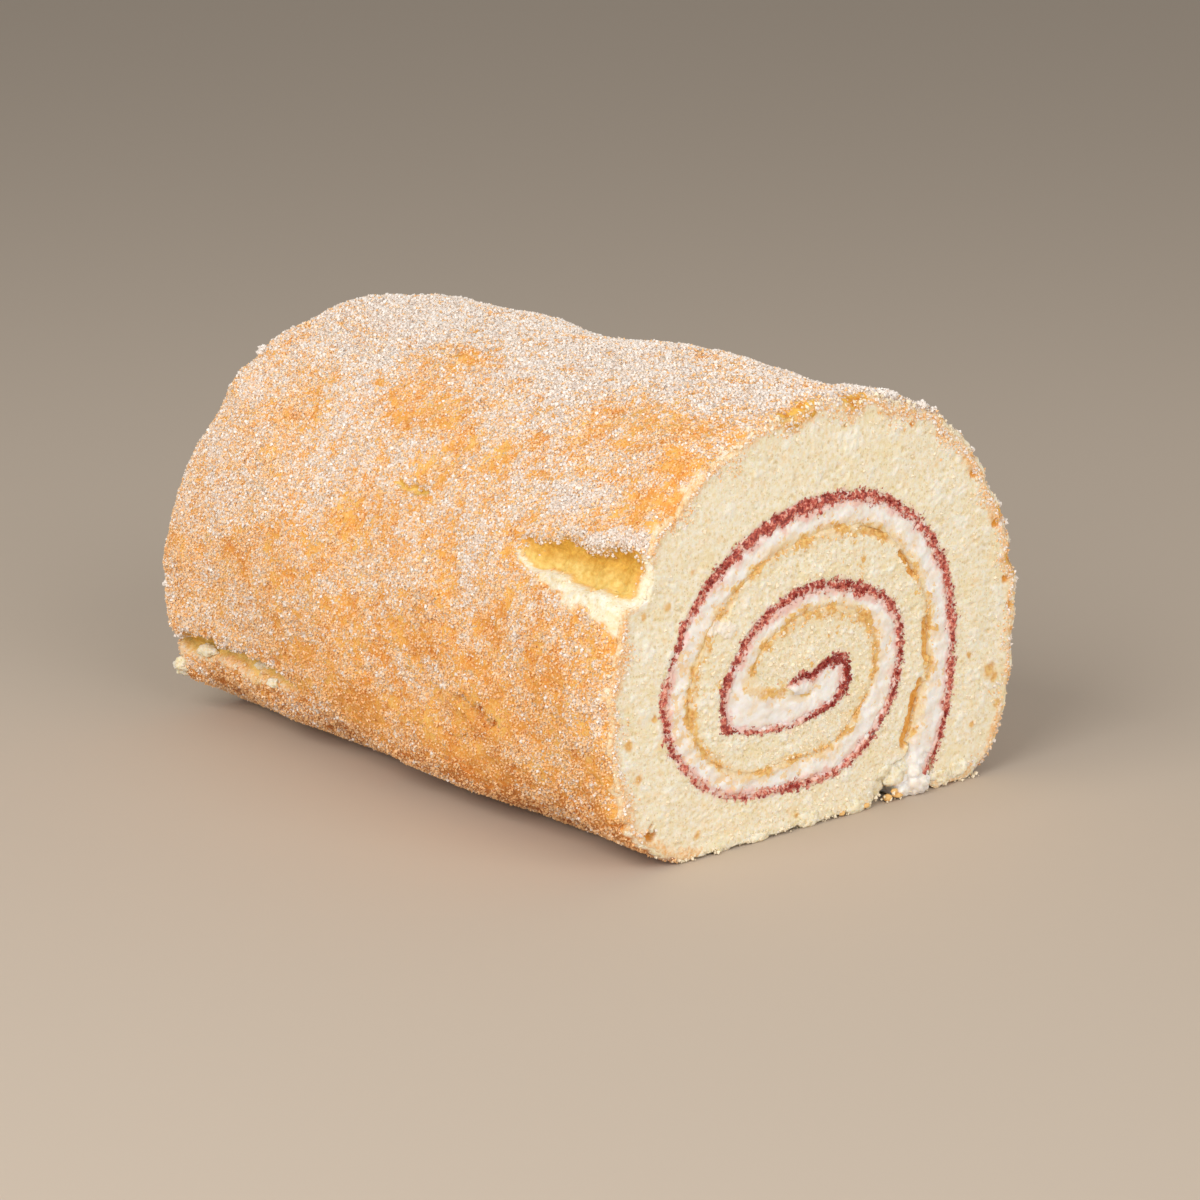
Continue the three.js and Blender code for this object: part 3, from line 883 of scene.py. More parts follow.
def face_pores(x, z, size, share, seed):
    flat = np.stack([x, np.full_like(x, PORE_PLANE), z], -1).reshape(-1, 3)
    return pores(flat, size, share, seed).reshape(x.shape)


def line_noise(angle, radius, size, seed):
    """Noise along a line of the spiral, for ragged edges."""
    return face_noise(*to_section(angle, radius), size, seed + 60)


# %% Distances from the jam and the baked side
def jam_depth(angle):
    """How deep the jam goes before the cream, waving along the line."""
    line = spread_radius(angle)
    waves = 0.5 * line_noise(angle, line, 3.4, 5) + 0.4 * line_noise(angle, line, 1.5, 6)
    return jam_thickness(angle) * (1 + 0.8 * waves) + 0.5 * waves


def layer_values(angle, radius, into_filling, crust_angle):
    """What the finish of a cut face needs: distances in mm from the jam's line and the baked side."""
    values = {
        "depth": np.clip(depth_inside(angle, radius), -3, 9),
        "jam_width": jam_depth(angle),
        "jam_dark": jam_darkness(angle),
        "filling": np.clip(into_filling, -3, 3),
        "gold_width": crust_line_width(crust_angle),
        "mess": mess_curve(angle),
        "rim_gold": -2.0,
    }
    return {key: np.broadcast_to(value, np.broadcast(angle, radius).shape) for key, value in values.items()}


# %% [markdown]
# ### Crumb
#
# Cut sponge is full of small round bubbles, with low tufts where it tore instead of being cut. The face
# is hollowed a little between the rim and the jam, because the knife pulls on soft crumb. Beside the
# baked side of the inner turns there are narrow gaps where the filling has come away.

# %% Marks on the crumb
RIM_END = 222
SLITS = [
    # gaps where the filling has come away from the crust: angle, depth below it, length, width, depth
    (399.5, 1.1, 7.0, 1.7, 1.0),
    (369.5, 1.2, 8.5, 2.5, 0.9),
    (340.5, 1.4, 13.0, 3.2, 1.2),
    (421.5, 1.2, 9.0, 1.8, 0.6),
    (500.0, 1.2, 7.0, 1.4, 0.4),
]
PIT = {"angle": 205.3, "radius": 41.3, "size": 1.2, "depth": 1.7}
DRAG = (0.75, 1.3)
STAINS = [
    # oily spots in the crumb: angle, radius and size in mm
    (151.8, 44.1, 0.9),
    (147.3, 40.1, 1.1),
    (136.5, 38.8, 0.8),
    (424.7, 29.7, 0.6),
]
WHITE_TUFTS = [
    # pale torn tufts: angle, radius and size
    (78.1, 45.0, 2.6),
    (66.0, 48.0, 1.8),
    (98.0, 46.5, 1.6),
    (40.0, 47.5, 1.6),
    (-72.0, 23.5, 1.6),
]
GOLD_SPOTS = [
    # baked spots, the outermost of them dents in the rim: angle, radius and size
    (-5.7, 45.5, 2.1),
    (-7.6, 46.9, 1.4),
    (-0.9, 39.8, 0.9),
    (-13.5, 48.8, 1.1),
    (-19.0, 43.0, 0.9),
    (8.0, 50.6, 1.2),
    (62.0, 50.4, 0.8),
    (27.0, 51.2, 1.3),
    (14.0, 50.2, 1.1),
    (40.0, 51.8, 1.2),
    (181.0, 42.6, 1.3),
    (190.0, 41.0, 1.2),
    (176.0, 36.5, 0.9),
    (217.0, 33.5, 0.9),
    (262.0, 22.0, 0.8),
]
CREAM_SMEAR = [(148.8, 32.2), (140.8, 24.4), 1.1]


# %% Masks for the marks
def spot_marks(places, angle, radius, shaken, full):
    """1 on round spots and 0 away from them. `full` is the share of a spot's size that is 1."""
    marks = 0 * radius
    for at, from_eye, size in places:
        apart = np.hypot(np.radians(angle - at) * radius, radius - from_eye)
        marks = np.maximum(marks, ease(apart + shaken, size, full * size))
    return marks


def slit_depth(angle, radius, from_crust):
    """How deep the gaps beside the filling are, with ragged ends."""
    aside = (radius - PIT["radius"]) / PIT["size"]
    along = np.radians(angle - PIT["angle"]) * radius / PIT["size"]
    depth = PIT["depth"] * ease(along**2 + aside**2, 1.4, 0.3)
    for at, below, length, width, deep in SLITS:
        along = np.radians(angle - at) * radius / (length / 2)
        aside = (from_crust - below) / (width / 2)
        depth = np.maximum(depth, deep * ease(along**4 + aside**2, 1.4, 0.4))
    return depth


def near_segment(x, z, start, end):
    """The distance of each point from a line between two (angle, radius) places."""
    a, b = (np.stack(to_section(*place)) for place in (start, end))
    t = np.clip(((x - a[0]) * (b - a)[0] + (z - a[1]) * (b - a)[1]) / ((b - a) ** 2).sum(), 0, 1)
    return np.hypot(x - a[0] - t * (b - a)[0], z - a[1] - t * (b - a)[1])


def ring_radius(angle, at_far_end=False):
    """The skin's own edge at one cut face, where the crumb meets it."""
    row = -len(TUCKS) - 1 if at_far_end else len(TUCKS)
    return np.interp(angle, skin_angles, skin_radius[:, row])


# %% The crumb's relief
CRUMB_FINE = [(0.08, 0.9, 21), (0.06, 0.5, 22)]
SHAKEN = [(0.5, 1.3, 30), (0.25, 0.6, 31)]
TUFT_CLOUDS = [(1, 3.4, 33), (0.5, 1.1, 34)]
BESIDE_CRACK = (146.5, 5.5, 3.5)
FILLING_FROM = 325


def rim_breadth(angle, x, z):
    """How far the baked rim reaches into the crumb: wider under a flap, and gone beside the big crack."""
    at_left = ease(angle, 100, 150)
    breadth = 2.3 + 0.5 * np.cos(np.radians(angle - 15)) + 1.5 * face_noise(x, z, 5.0, 29) + 1.3 * at_left
    crack_angle, reach, loss = BESIDE_CRACK
    at_crack = np.exp(-(((angle - crack_angle) / reach) ** 2))
    return np.where(angle < RIM_END, breadth + 1.6 * flap_length(angle) - loss * at_crack, -2)


def sheet_relief(angle, radius, x, z, share):
    """The crumb's cut surface, and where it is baked gold, stained or smeared."""
    across, up = x * DRAG[0], z * DRAG[1]
    from_spread = radius - sheet_inner(angle)
    from_crust = np.where(angle < OUTER_TURN_END, ring_radius(angle), sheet_outer(angle)) - radius
    from_tip = np.radians(angle - SHEET_INNER_END - 2) * radius
    shaken = added(lambda size, seed: face_noise(x, z, size, seed), SHAKEN)

    broad = 0.2 * face_noise(x, z, 9, 23) + 0.09 * face_noise(across, up, 2.6, 24)
    fine = added(lambda size, seed: face_noise(across, up, size, seed), CRUMB_FINE)
    holes = 0.2 * face_pores(across, up, 2.2, 0.22, 25) + 0.18 * face_pores(across, up, 1.2, 0.35, 26)
    baked_drop = 0.4 * ease(from_crust, 0.8, 0.0) * (angle > INNER_TURNS_FROM)
    edge_drop = 0.15 * ease(from_spread, 0.7, 0.0) + baked_drop
    at_tip = 0.7 * ease(angle, 852, 888)
    settled = np.where(angle < OUTER_TURN_END, ease(from_crust, 1.2, 4.5), 1)
    under_rim = np.where(angle < RIM_END, 0.5 * ease(from_crust, 1.1, 0.4), 0)
    sunk = 0.05 + settled * (0.18 + broad) + fine + holes + edge_drop + at_tip + under_rim
    tufts = ease(added(lambda size, seed: face_noise(x, z, size, seed), TUFT_CLOUDS), 0.3, 0.65)
    tufts = np.maximum(tufts, spot_marks(WHITE_TUFTS, angle, radius, 2 * shaken, 0.5))
    sunk = sunk - tufts * settled * (0.12 + 0.2 * face_noise(x, z, 0.8, 35))

    slits = slit_depth(angle + 4 * shaken, radius + shaken, from_crust + shaken)
    stains = spot_marks(STAINS, angle, radius, 1.2 * shaken, 0.4)
    gold_spots = spot_marks(GOLD_SPOTS, angle, radius, 1.2 * shaken, 0.4)
    rim_spots = gold_spots * ease(radius, 49.3, 50.2) * (angle < RIM_END)
    flap = flap_length(angle) * (angle < RIM_END)
    under_flap = ease(flap, 0.1, 0.4) * ease(from_crust + 1.2 * shaken, 1.3 + 2.4 * flap, 0.9 + 1.5 * flap)
    smear_start, smear_end, smear_width = CREAM_SMEAR
    smear = near_segment(x, z, smear_start, smear_end) + 1.6 * shaken
    smear = ease(smear, smear_width + 0.3, smear_width - 0.3)

    into_filling = np.where(angle > FILLING_FROM, np.maximum(-from_crust, from_tip), -3)
    values = layer_values(angle, radius, into_filling, angle)
    values["depth"] = np.maximum(np.minimum(values["depth"], -0.02), np.clip(from_tip, -3, 0))
    # holes marks the sunk pores, which the finish paints darker as shade.
    values.update(
        rim_gold=np.clip(rim_breadth(angle, x, z) - from_crust, -2, 2),
        baked=np.maximum(np.maximum(ease(slits, 0.2, 0.8), 0.9 * gold_spots), 0.85 * under_flap),
        holes=ease(holes, 0.05, 0.3),
        deep=np.maximum(ease(slits, 0.6, 2), 0.8 * rim_spots),
        stain=stains,
        smear=smear,
        pale=tufts,
    )
    return sunk + slits + 0.5 * rim_spots - 0.35 * smear, values


# %% The crumb's outer edge and its hidden wall
FACE_INSET = 0.5
SHOULDER_SETBACK = 8.0


def crumb_edge(angle, at_far_end):
    ring = ring_radius(angle, at_far_end) - FACE_INSET
    torn = 0.55 * line_noise(angle, ring, 3.0, 3) + 0.4 * line_noise(angle, ring, 1.1, 4)
    at_foot = ease(angle, 216, 226) * ease(angle, 305, 298) * np.clip(0.1 + 0.5 * torn, 0, 1)
    return np.where(angle < OUTER_TURN_END, ring - at_foot, sheet_outer(angle) - 0.3 * at_foot)


def near_crumb_edge(angle):
    return crumb_edge(angle, False)


def far_crumb_edge(angle):
    return crumb_edge(angle, True)


def crumb_shoulder(loop, direction):
    """The hidden wall's edge, drawn in under the crust a little behind each face."""
    aside, up = loop[:, 0] - EYE[0], loop[:, 2] - EYE[1]
    radius = np.hypot(aside, up)
    angle = np.degrees(np.arctan2(up, aside))
    outermost = np.where(angle < SKIN_ANGLES[0], angle + 360, angle)
    rim = ring_radius(outermost, direction < 0)
    under_skin = ease(rim - radius, 2.5, 0.5)
    drawn = np.interp(outermost, skin_angles, thickness) * under_skin
    shrink = (radius - drawn) / radius
    x, z = EYE[0] + aside * shrink, EYE[1] + up * shrink
    return np.stack([x, loop[:, 1] + SHOULDER_SETBACK * direction, np.maximum(z, 0)], -1)


# %% Make the crumb
SHEET_CELL = 0.31
SHEET_ROWS = 44

sheet_ends = (SHEET_START + 0.4, INNER_TIP[0] - 0.05)
crumb = ribbon_piece(
    "crumb",
    sheet_ends,
    (near_crumb_edge, far_crumb_edge),
    sheet_inner,
    SHEET_CELL,
    SHEET_ROWS,
    sheet_relief,
    crumb_shoulder,
)
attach(crumb, "root")
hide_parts("sponge")

# %% [markdown]
# ### Jam
#
# Jam soaks into the crumb and clots along the line, so it isn't a smooth band. Its ribbon is proud in
# the middle and sinks at both sides, where the sponge and the cream come up through it.

# %% The jam
JAM_ENDS = (-31, 874)
JAM_CELL = 0.28
JAM_ROWS = 11
JAM_OVERLAP = 0.8


def jam_outer(angle):
    return radius_inside(angle, -JAM_OVERLAP)


def jam_inner(angle):
    return np.maximum(radius_inside(angle, np.maximum(jam_thickness(angle), 0.3) + JAM_OVERLAP), 0.3)


def jam_relief(angle, radius, x, z, share):
    """Clotted jam: proud in the middle of its line, and ragged towards its edges."""
    middle = 1 - np.abs(share * 2 - 1)
    clots = 0.36 * face_noise(x, z, 1.5, 41) + 0.26 * face_noise(x, z, 0.7, 42)
    sunk = 0.55 - 0.3 * ease(middle, 0.0, 0.7) + clots + 0.15 * face_noise(x, z, 7.0, 43)
    return sunk, layer_values(angle, radius, 3, angle)


jam = ribbon_piece("jam_line", JAM_ENDS, jam_outer, jam_inner, JAM_CELL, JAM_ROWS, jam_relief)
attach(jam, "root")
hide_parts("jam")

# %% [markdown]
# ### Cream
#
# The cream fills what is left between the jam and the baked side of the next turn. In the middle it
# closes the eye of the roll. At the foot, where the sheet ends, it is squeezed out on to the board.

# %% The sides of the cream
POCKET_START = 527
EYE_GAP = 0.05
ooze_stops = [to_polar(point) for point in reversed(OOZE)] + [(SPREAD_START, FOOT_RADII[0])]
ooze_inner = curve_through(ooze_stops)
ooze_outer = curve_through([to_polar(OOZE_EDGE), (SPREAD_START, FOOT_RADII[1])])


def cream_outer(angle):
    line = radius_inside(angle, np.maximum(jam_thickness(angle), 0.2) * 0.6)
    at_foot = np.where(angle < to_polar(OOZE_EDGE)[0], board_radius(angle) - 0.4, ooze_outer(angle))
    return np.where(angle < SPREAD_START, at_foot, np.maximum(line, 0.6))


def cream_inner(angle):
    crust_line = crust_radius(np.minimum(angle, POCKET_START))
    beside_crust = np.where(angle < SPREAD_START, ooze_inner(angle), crust_line - 0.5)
    over_tip = ease(angle, POCKET_START - 14, POCKET_START)
    return np.where(angle > POCKET_START, EYE_GAP, beside_crust * (1 - over_tip) + EYE_GAP * over_tip)


# %% The cream's relief
SMEAR_PLANE = 1.1


def cream_relief(angle, radius, x, z, share):
    """Smeared cream: soft and nearly flush, bulging where it oozes out at the foot."""
    # x is stretched and slanted, so that the noise reads as strokes of the knife
    along_cut = np.stack([x * 0.35 + z * 0.2, x * 0 + SMEAR_PLANE, z - x * 0.3], -1).reshape(-1, 3)
    smears = 0.12 * rough(along_cut, 1.6, 51).reshape(x.shape) + 0.2 * face_noise(x, z, 4.5, 52)
    smears = smears * (1 + mess_curve(angle))
    beads = 0.1 * face_noise(x, z, 0.9, 53)
    foot = 1.2 * ease(z, 4.0, 0.5)
    middle = 1 - np.abs(share * 2 - 1)
    sunk = 0.5 - 0.3 * ease(middle, 0, 0.5) + smears + beads + foot
    from_crust = radius - crust_radius(np.minimum(angle, POCKET_START))
    past_tip = np.maximum(from_crust, np.radians(angle - POCKET_START - 1) * radius)
    into_filling = np.where(angle > SPREAD_START, from_crust, 3)
    into_filling = np.where(angle > POCKET_START - 16, past_tip, into_filling)
    return sunk, layer_values(angle, radius, into_filling, angle + 360)


# %% Make the cream
CREAM_ENDS = (-47.0, 893)
CREAM_CELL = 0.32
CREAM_ROWS = 24

cream = ribbon_piece(
    "cream_line", CREAM_ENDS, cream_outer, cream_inner, CREAM_CELL, CREAM_ROWS, cream_relief
)
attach(cream, "root")
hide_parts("cream")

# %% [markdown]
# ## Sugar
#
# Granulated sugar is half-millimetre blocks with sharp edges. A pattern of specks would look flat at
# the rim, where the grains stand out against the light, so every grain is a real chip of mesh. There
# are a few kinds by size, scattered at random over the skin where the cover is high, each turned its
# own way and sunk a little into the skin.

# %% Shapes of grain
SPLINTER_CORNERS = np.array([(1, 1, 1), (1, -1, -1), (-1, 1, -1), (-1, -1, 1)], float) * 0.4
SPLINTER_FACES = np.array([(0, 1, 2), (0, 3, 1), (0, 2, 3), (1, 3, 2)])
CHIP_CORNERS = np.array([(1, 0, 0), (-1, 0, 0), (0, 1, 0), (0, -1, 0), (0, 0, 1), (0, 0, -1)], float) * 0.55
CHIP_TOP = [(0, 2, 4), (2, 1, 4), (1, 3, 4), (3, 0, 4)]
CHIP_FACES = np.array(CHIP_TOP + [(2, 0, 5), (1, 2, 5), (3, 1, 5), (0, 3, 5)])
BLOCK_CORNERS = np.array([(x, y, z) for x in (-1, 1) for y in (-1, 1) for z in (-1, 1)], float) * 0.4
BLOCK_FACES = np.array([(0, 1, 3, 2), (4, 6, 7, 5), (0, 4, 5, 1), (2, 3, 7, 6), (0, 2, 6, 4), (1, 5, 7, 3)])
SHAPES = {
    "splinter": (SPLINTER_CORNERS, SPLINTER_FACES),
    "chip": (CHIP_CORNERS, CHIP_FACES),
    "block": (BLOCK_CORNERS, BLOCK_FACES),
}

# %% Many grains in one mesh
GRAIN_STRETCH = (0.7, 1.3)
CORNER_STRETCH = (0.8, 1.2)


def random_turns(dice, count):
    """Rotation matrices that point every way alike."""
    q = dice.normal(size=(count, 4))
    w, x, y, z = (q / np.linalg.norm(q, axis=1, keepdims=True)).T
    rows_of = [
        (1 - 2 * (y * y + z * z), 2 * (x * y - z * w), 2 * (x * z + y * w)),
        (2 * (x * y + z * w), 1 - 2 * (x * x + z * z), 2 * (y * z - x * w)),
        (2 * (x * z - y * w), 2 * (y * z + x * w), 1 - 2 * (x * x + y * y)),
    ]
    return np.array(rows_of).transpose(2, 0, 1)


def grains(name, dice, places, sizes, corners, faces):
    """One mesh of many grains, each with its own size, proportions and turn, and none below the board."""
    count = len(places)
    stretch = dice.uniform(*GRAIN_STRETCH, (count, 1, 3)) * sizes[:, None, None]
    stretch = stretch * dice.uniform(*CORNER_STRETCH, (count, len(corners), 1))
    shapes = np.einsum("nij,nkj->nki", random_turns(dice, count), corners[None] * stretch)
    lowest = (shapes + places[:, None, :])[..., 2].min(1)
    places = places + np.array([0, 0, 1]) * np.maximum(-lowest, 0)[:, None]
    points = (shapes + places[:, None, :]).reshape(-1, 3)
    every_face = (faces[None] + len(corners) * np.arange(count)[:, None, None]).reshape(-1, faces.shape[1])
    return make_piece(name, points, every_face.tolist(), smooth=False)


# %% [markdown]
# ### Where the grains fall
#
# The grid's cells are of uneven size, so a grain first draws a cell, with a chance in proportion to its
# area and its cover, and then a place inside it. Torn and yellow crumb keeps no sugar.

# %% The cells that sugar can lie on
BARE_ROWS = 4
BARENESS = 1.5

shown_rows = slice(BARE_ROWS, -BARE_ROWS)
skin_on_show = skin[:, shown_rows]
corner = skin_on_show[:-1, :-1]
step_round = skin_on_show[1:, :-1] - corner
step_along = skin_on_show[:-1, 1:] - corner
cell_normal = np.cross(step_along, step_round)
cell_area = np.linalg.norm(cell_normal, axis=-1)
cell_normal /= np.maximum(cell_area[..., None], 1e-9)
outward = np.sign(((corner - [EYE[0], 0, EYE[1]]) * [1, 0, 1] * cell_normal).sum(-1).mean())
cell_normal *= outward


def on_cells(values):
    """A value of the skin's points, for the cells on show."""
    return values[:, shown_rows][:-1, :-1]


cell_cover = on_cells(cover)
cell_white = on_cells(white)
cell_whole = on_cells((1 - skin_values["torn"]) * (1 - skin_values["gold"]))
cell_show = on_cells(skin_values["show"]) * cell_whole**BARENESS
print("skin on show, cm2:", round(float((cell_area * cell_show).sum()) / 100, 1))


# %% Random places on the skin
def scatter(dice, count, weight):
    """Random places on the skin, more of them where the weight is high, with the skin's normal."""
    chance = np.cumsum((weight * cell_area * cell_show).ravel())
    cell = np.searchsorted(chance, dice.random(count) * chance[-1])
    i, j = np.unravel_index(cell, cell_area.shape)
    aside, along = dice.random((2, count, 1))
    return corner[i, j] + step_round[i, j] * aside + step_along[i, j] * along, cell_normal[i, j]


# %% Places on the cut faces
def face_places(angle, radius, sunk, at_far_end):
    """Points at an angle and radius of one end of the roll, sunk into it by so much."""
    x, z = to_section(angle, radius)
    y = far_end(z) - sunk if at_far_end else NEAR + sunk
    return np.stack([x, y, z], -1)


def crumb_surface(angle, radius, at_far_end, share=1.0, deeper=0.0):
    """Points on the cut crumb, at a share of its relief's depth and so much deeper."""
    sunk = sheet_relief(angle, radius, *to_section(angle, radius), None)[0]
    return face_places(angle, radius, sunk * share + deeper, at_far_end)


# %% Places at the rims
RIM_TOP = (52, 38)
RIM_TOP_LIMITS = (-28, 118)
RIM_LEFT = (112, 206)
RIM_LEFT_SHARE = 0.35
CLEAR_OF_SUGAR = (147, 7)


def rim_places(dice, count, at_far_end):
    """Places on the cut face just inside the sugared rim, most of them near the top."""
    angle = np.clip(dice.normal(*RIM_TOP, count), *RIM_TOP_LIMITS)
    angle = np.where(dice.random(count) < RIM_LEFT_SHARE, dice.uniform(*RIM_LEFT, count), angle)
    crack_angle, reach = CLEAR_OF_SUGAR
    angle = np.where(np.abs(angle - crack_angle) < reach, angle + 2 * reach, angle)
    from_crust = 1.3 + np.abs(dice.normal(0, 1.5, count)) * (0.7 + 0.5 * np.sin(angle * 0.4))
    return crumb_surface(angle, ring_radius(angle, at_far_end) - from_crust, at_far_end)


def both_ends(places, dice, near_count, far_count):
    return np.concatenate([places(dice, near_count, False), places(dice, far_count, True)])


# %% Scatter the sugar
SUGAR = {
    # name: (seed, grains on the skin, on the near rim, smallest, largest, shape, power of the cover,
    # leans to the white places)
    "sugar_fine": (11, 48000, 1000, 0.32, 0.54, "splinter", 0.4, False),
    "sugar_bright": (12, 48400, 350, 0.3, 0.5, "splinter", 1.4, True),
    "sugar_clear": (13, 23600, 650, 0.32, 0.52, "chip", 1.1, False),
    "sugar_coarse": (14, 15900, 350, 0.34, 0.58, "block", 1.8, True),
}
MOST_PROUD = 0.35
GOLDEN_LEAN = 1.08

sugar_pieces = {}
for name, (seed, count, rim_count, smallest, largest, shape, power, on_white) in SUGAR.items():
    dice = np.random.default_rng(seed)
    leaning = cell_white if on_white else GOLDEN_LEAN - cell_white
    places, normals = scatter(dice, count, cell_cover**power * leaning)
    sizes = dice.uniform(smallest, largest, count)
    lifted = places + normals * (sizes * dice.uniform(0.0, MOST_PROUD, count))[:, None]
    on_face = both_ends(rim_places, dice, rim_count, rim_count // 2)
    lifted = np.concatenate([lifted, on_face])
    sizes = np.concatenate([sizes, dice.uniform(smallest, largest, len(on_face))])
    sugar_pieces[name] = grains(name, dice, lifted, sizes, *SHAPES[shape])
    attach(sugar_pieces[name], "root")

# %% [markdown]
# ## Crumbs, jam pulp and the cream at the foot
#
# A knife drags soft cake along with it. It leaves crumbs on the face and along the foot, golden flakes
# of crust in the cream, and dark pulp in the jam. These are chips scattered along the spiral. Where the
# filling meets the board it is squeezed out, so a few soft round lumps close the foot and line the low
# crack at the far end.


# %% Round shapes
def ball_shape(detail):
    """Corners and triangles of a ball one millimetre across."""
    shell = bmesh.new()
    bmesh.ops.create_icosphere(shell, subdivisions=detail, radius=0.5)
    shell.verts.index_update()
    corners = np.array([list(vertex.co) for vertex in shell.verts])
    faces = np.array([[vertex.index for vertex in face.verts] for face in shell.faces])
    shell.free()
    return corners, faces


BALL_DETAIL = 4
SOFT_CORNERS, SOFT_FACES = ball_shape(BALL_DETAIL)


def soft_lumps(name, lumps, seed, unevenness):
    """Round lumps with uneven skins, flat where they lie on the board: x, distance, z and three reaches."""
    points, faces = [], []
    for k, (x, distance, z, *reaches) in enumerate(lumps):
        centre = np.array([x, NEAR + distance, z])
        even = centre + SOFT_CORNERS * 2 * np.array(reaches)
        coarse = 0.22 * rough(even, 2.2, seed) + 0.14 * rough(even, 0.9, seed + 1)
        relief = coarse + 0.08 * rough(even, 0.45, seed + 2)
        uneven = centre + (even - centre) * (1 + unevenness * relief)[:, None]
        uneven[:, 2] = np.maximum(uneven[:, 2], 0)
        points.append(uneven)
        faces.append(SOFT_FACES + k * len(SOFT_CORNERS))
    return make_piece(name, np.concatenate(points), np.concatenate(faces).tolist())


# %% A place on the skin
def on_skin(angle, distance, proud=0.0):
    """The x, distance and z of the skin nearest to an angle and a distance, or of a place proud of it."""
    column = np.abs(skin_angles - angle).argmin()
    row = np.abs(distance_grid[column] - distance).argmin()
    x, y, z = skin[column, row]
    turn = math.radians(angle)
    return float(x + proud * math.cos(turn)), float(y - NEAR), float(z + proud * math.sin(turn))


# %% Soft lumps at the foot and in the low crack
CREAM_LUMPS = [
    # x, distance from the cut end, z, and the three reaches
    (24.6, 1.1, 2.1, 3.2, 2.2, 2.3),
    (24.2, 1.0, 4.3, 2.2, 1.7, 1.8),
    (25.9, 1.3, 6.4, 1.8, 1.5, 2.4),
    (22.1, 1.0, 1.5, 1.7, 1.5, 1.5),
    (27.4, 1.3, 1.9, 1.8, 1.6, 1.9),
    (25.4, 0.6, 0.8, 1.6, 1.3, 0.9),
]
SPONGE_LUMPS = [
    (19.4, 1.3, 4.7, 2.6, 1.5, 2.1),
    (17.0, 1.5, 6.0, 2.2, 1.4, 1.7),
    (21.4, 1.3, 5.9, 1.8, 1.3, 1.7),
    (15.2, 2.2, 3.4, 2.8, 1.4, 3.0),
    (31.6, 0.8, 1.9, 2.6, 1.2, 2.1),
    (35.6, 0.7, 2.3, 2.8, 1.1, 2.4),
    (39.4, 1.1, 3.2, 2.0, 1.1, 2.5),
    (-2.3, 0.7, 1.2, 2.8, 1.2, 1.5),
    (8.8, 0.7, 1.1, 3.4, 1.2, 1.4),
    (-13.5, 0.9, 0.9, 2.6, 1.1, 1.1),
    (-23.0, 0.9, 1.0, 2.2, 1.0, 1.2),
    (13.2, 1.0, 2.2, 1.5, 1.1, 1.4),
    # crumb that lines the crack low on the far side
    (*on_skin(200.0, 129.0), 2.6, 2.0, 1.1),
    (*on_skin(197.5, 127.5), 1.5, 1.8, 1.3),
    (*on_skin(193.0, 121.0), 1.5, 2.6, 1.3),
    (*on_skin(191.0, 113.5), 1.3, 2.0, 1.1),
    (*on_skin(193.5, 106.0), 1.2, 2.4, 1.0),
    (*on_skin(195.0, 99.0), 1.0, 1.8, 0.9),
]
FLAKE_LUMPS = [
    (18.0, 0.7, 0.7, 0.9, 0.8, 0.6),
    (20.2, 0.4, 0.9, 1.1, 0.8, 0.5),
    (19.3, 0.3, 1.8, 0.7, 0.5, 0.5),
    (11.8, 0.1, 0.8, 0.9, 0.6, 0.5),
    (6.0, 0.2, 0.6, 0.8, 0.6, 0.4),
]

# %% Make the lumps
ooze = soft_lumps("ooze", CREAM_LUMPS, seed=71, unevenness=1.4)
crumb_foot = soft_lumps("crumb_foot", SPONGE_LUMPS, seed=74, unevenness=2.1)
flakes = soft_lumps("flakes", FLAKE_LUMPS, seed=77, unevenness=1.6)
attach(flakes, "root")
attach(ooze, "root")
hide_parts("cream")
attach(crumb_foot, "root")
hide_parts("sponge")


# %% [markdown]
# ### Crumbs, pulp and knots of sugar
#
# Each kind has its own rule for where it lies: along the foot, all over the crumb, beside the baked
# line, in the dark stretches of the jam, or packed into damp knots on the rims. The knots break the
# outline of the roll, where a rim of even grains would look trimmed.


# %% Places for the chips
def foot_places(dice, count, at_far_end):
    """Places along the foot of one end."""
    x, z = dice.uniform(-33, 41, count), np.abs(dice.normal(0.4, 0.7, count)) + 0.2
    y = dice.uniform(-0.4, 0.7, count)
    return np.stack([x, far_end(z) - y if at_far_end else NEAR + y, z], -1)


def crumb_places(dice, count, at_far_end):
    """Places all over the cut sponge."""
    angle = dice.uniform(-28, 880, count)
    share = dice.uniform(0.08, 0.95, count)
    radius = sheet_outer(angle) * share + sheet_inner(angle) * (1 - share)
    return crumb_surface(angle, radius, at_far_end)


def crust_line_places(dice, count, at_far_end):
    """Places beside the baked side of the inner turns, where flakes come off it."""
    angle = dice.uniform(332, 880, count)
    radius = sheet_outer(angle) - crust_line_width(angle) * dice.uniform(-0.5, 1.2, count)
    return crumb_surface(angle, radius, at_far_end, 0.5, 0.1)


def jam_places(dice, count, at_far_end):
    """Places in the jam, more of them where it is dark."""
    angle = dice.uniform(-30, 866, count * 3)
    angle = angle[dice.random(count * 3) < 0.15 + jam_darkness(angle)][:count]
    depth = np.maximum(jam_depth(angle), 0.2) * dice.uniform(-0.1, 0.85, len(angle))
    depth = depth - np.abs(dice.normal(0, 0.25, len(angle)))
    radius = radius_inside(angle, depth)
    return face_places(angle, radius, dice.uniform(0.15, 0.5, len(angle)), at_far_end)


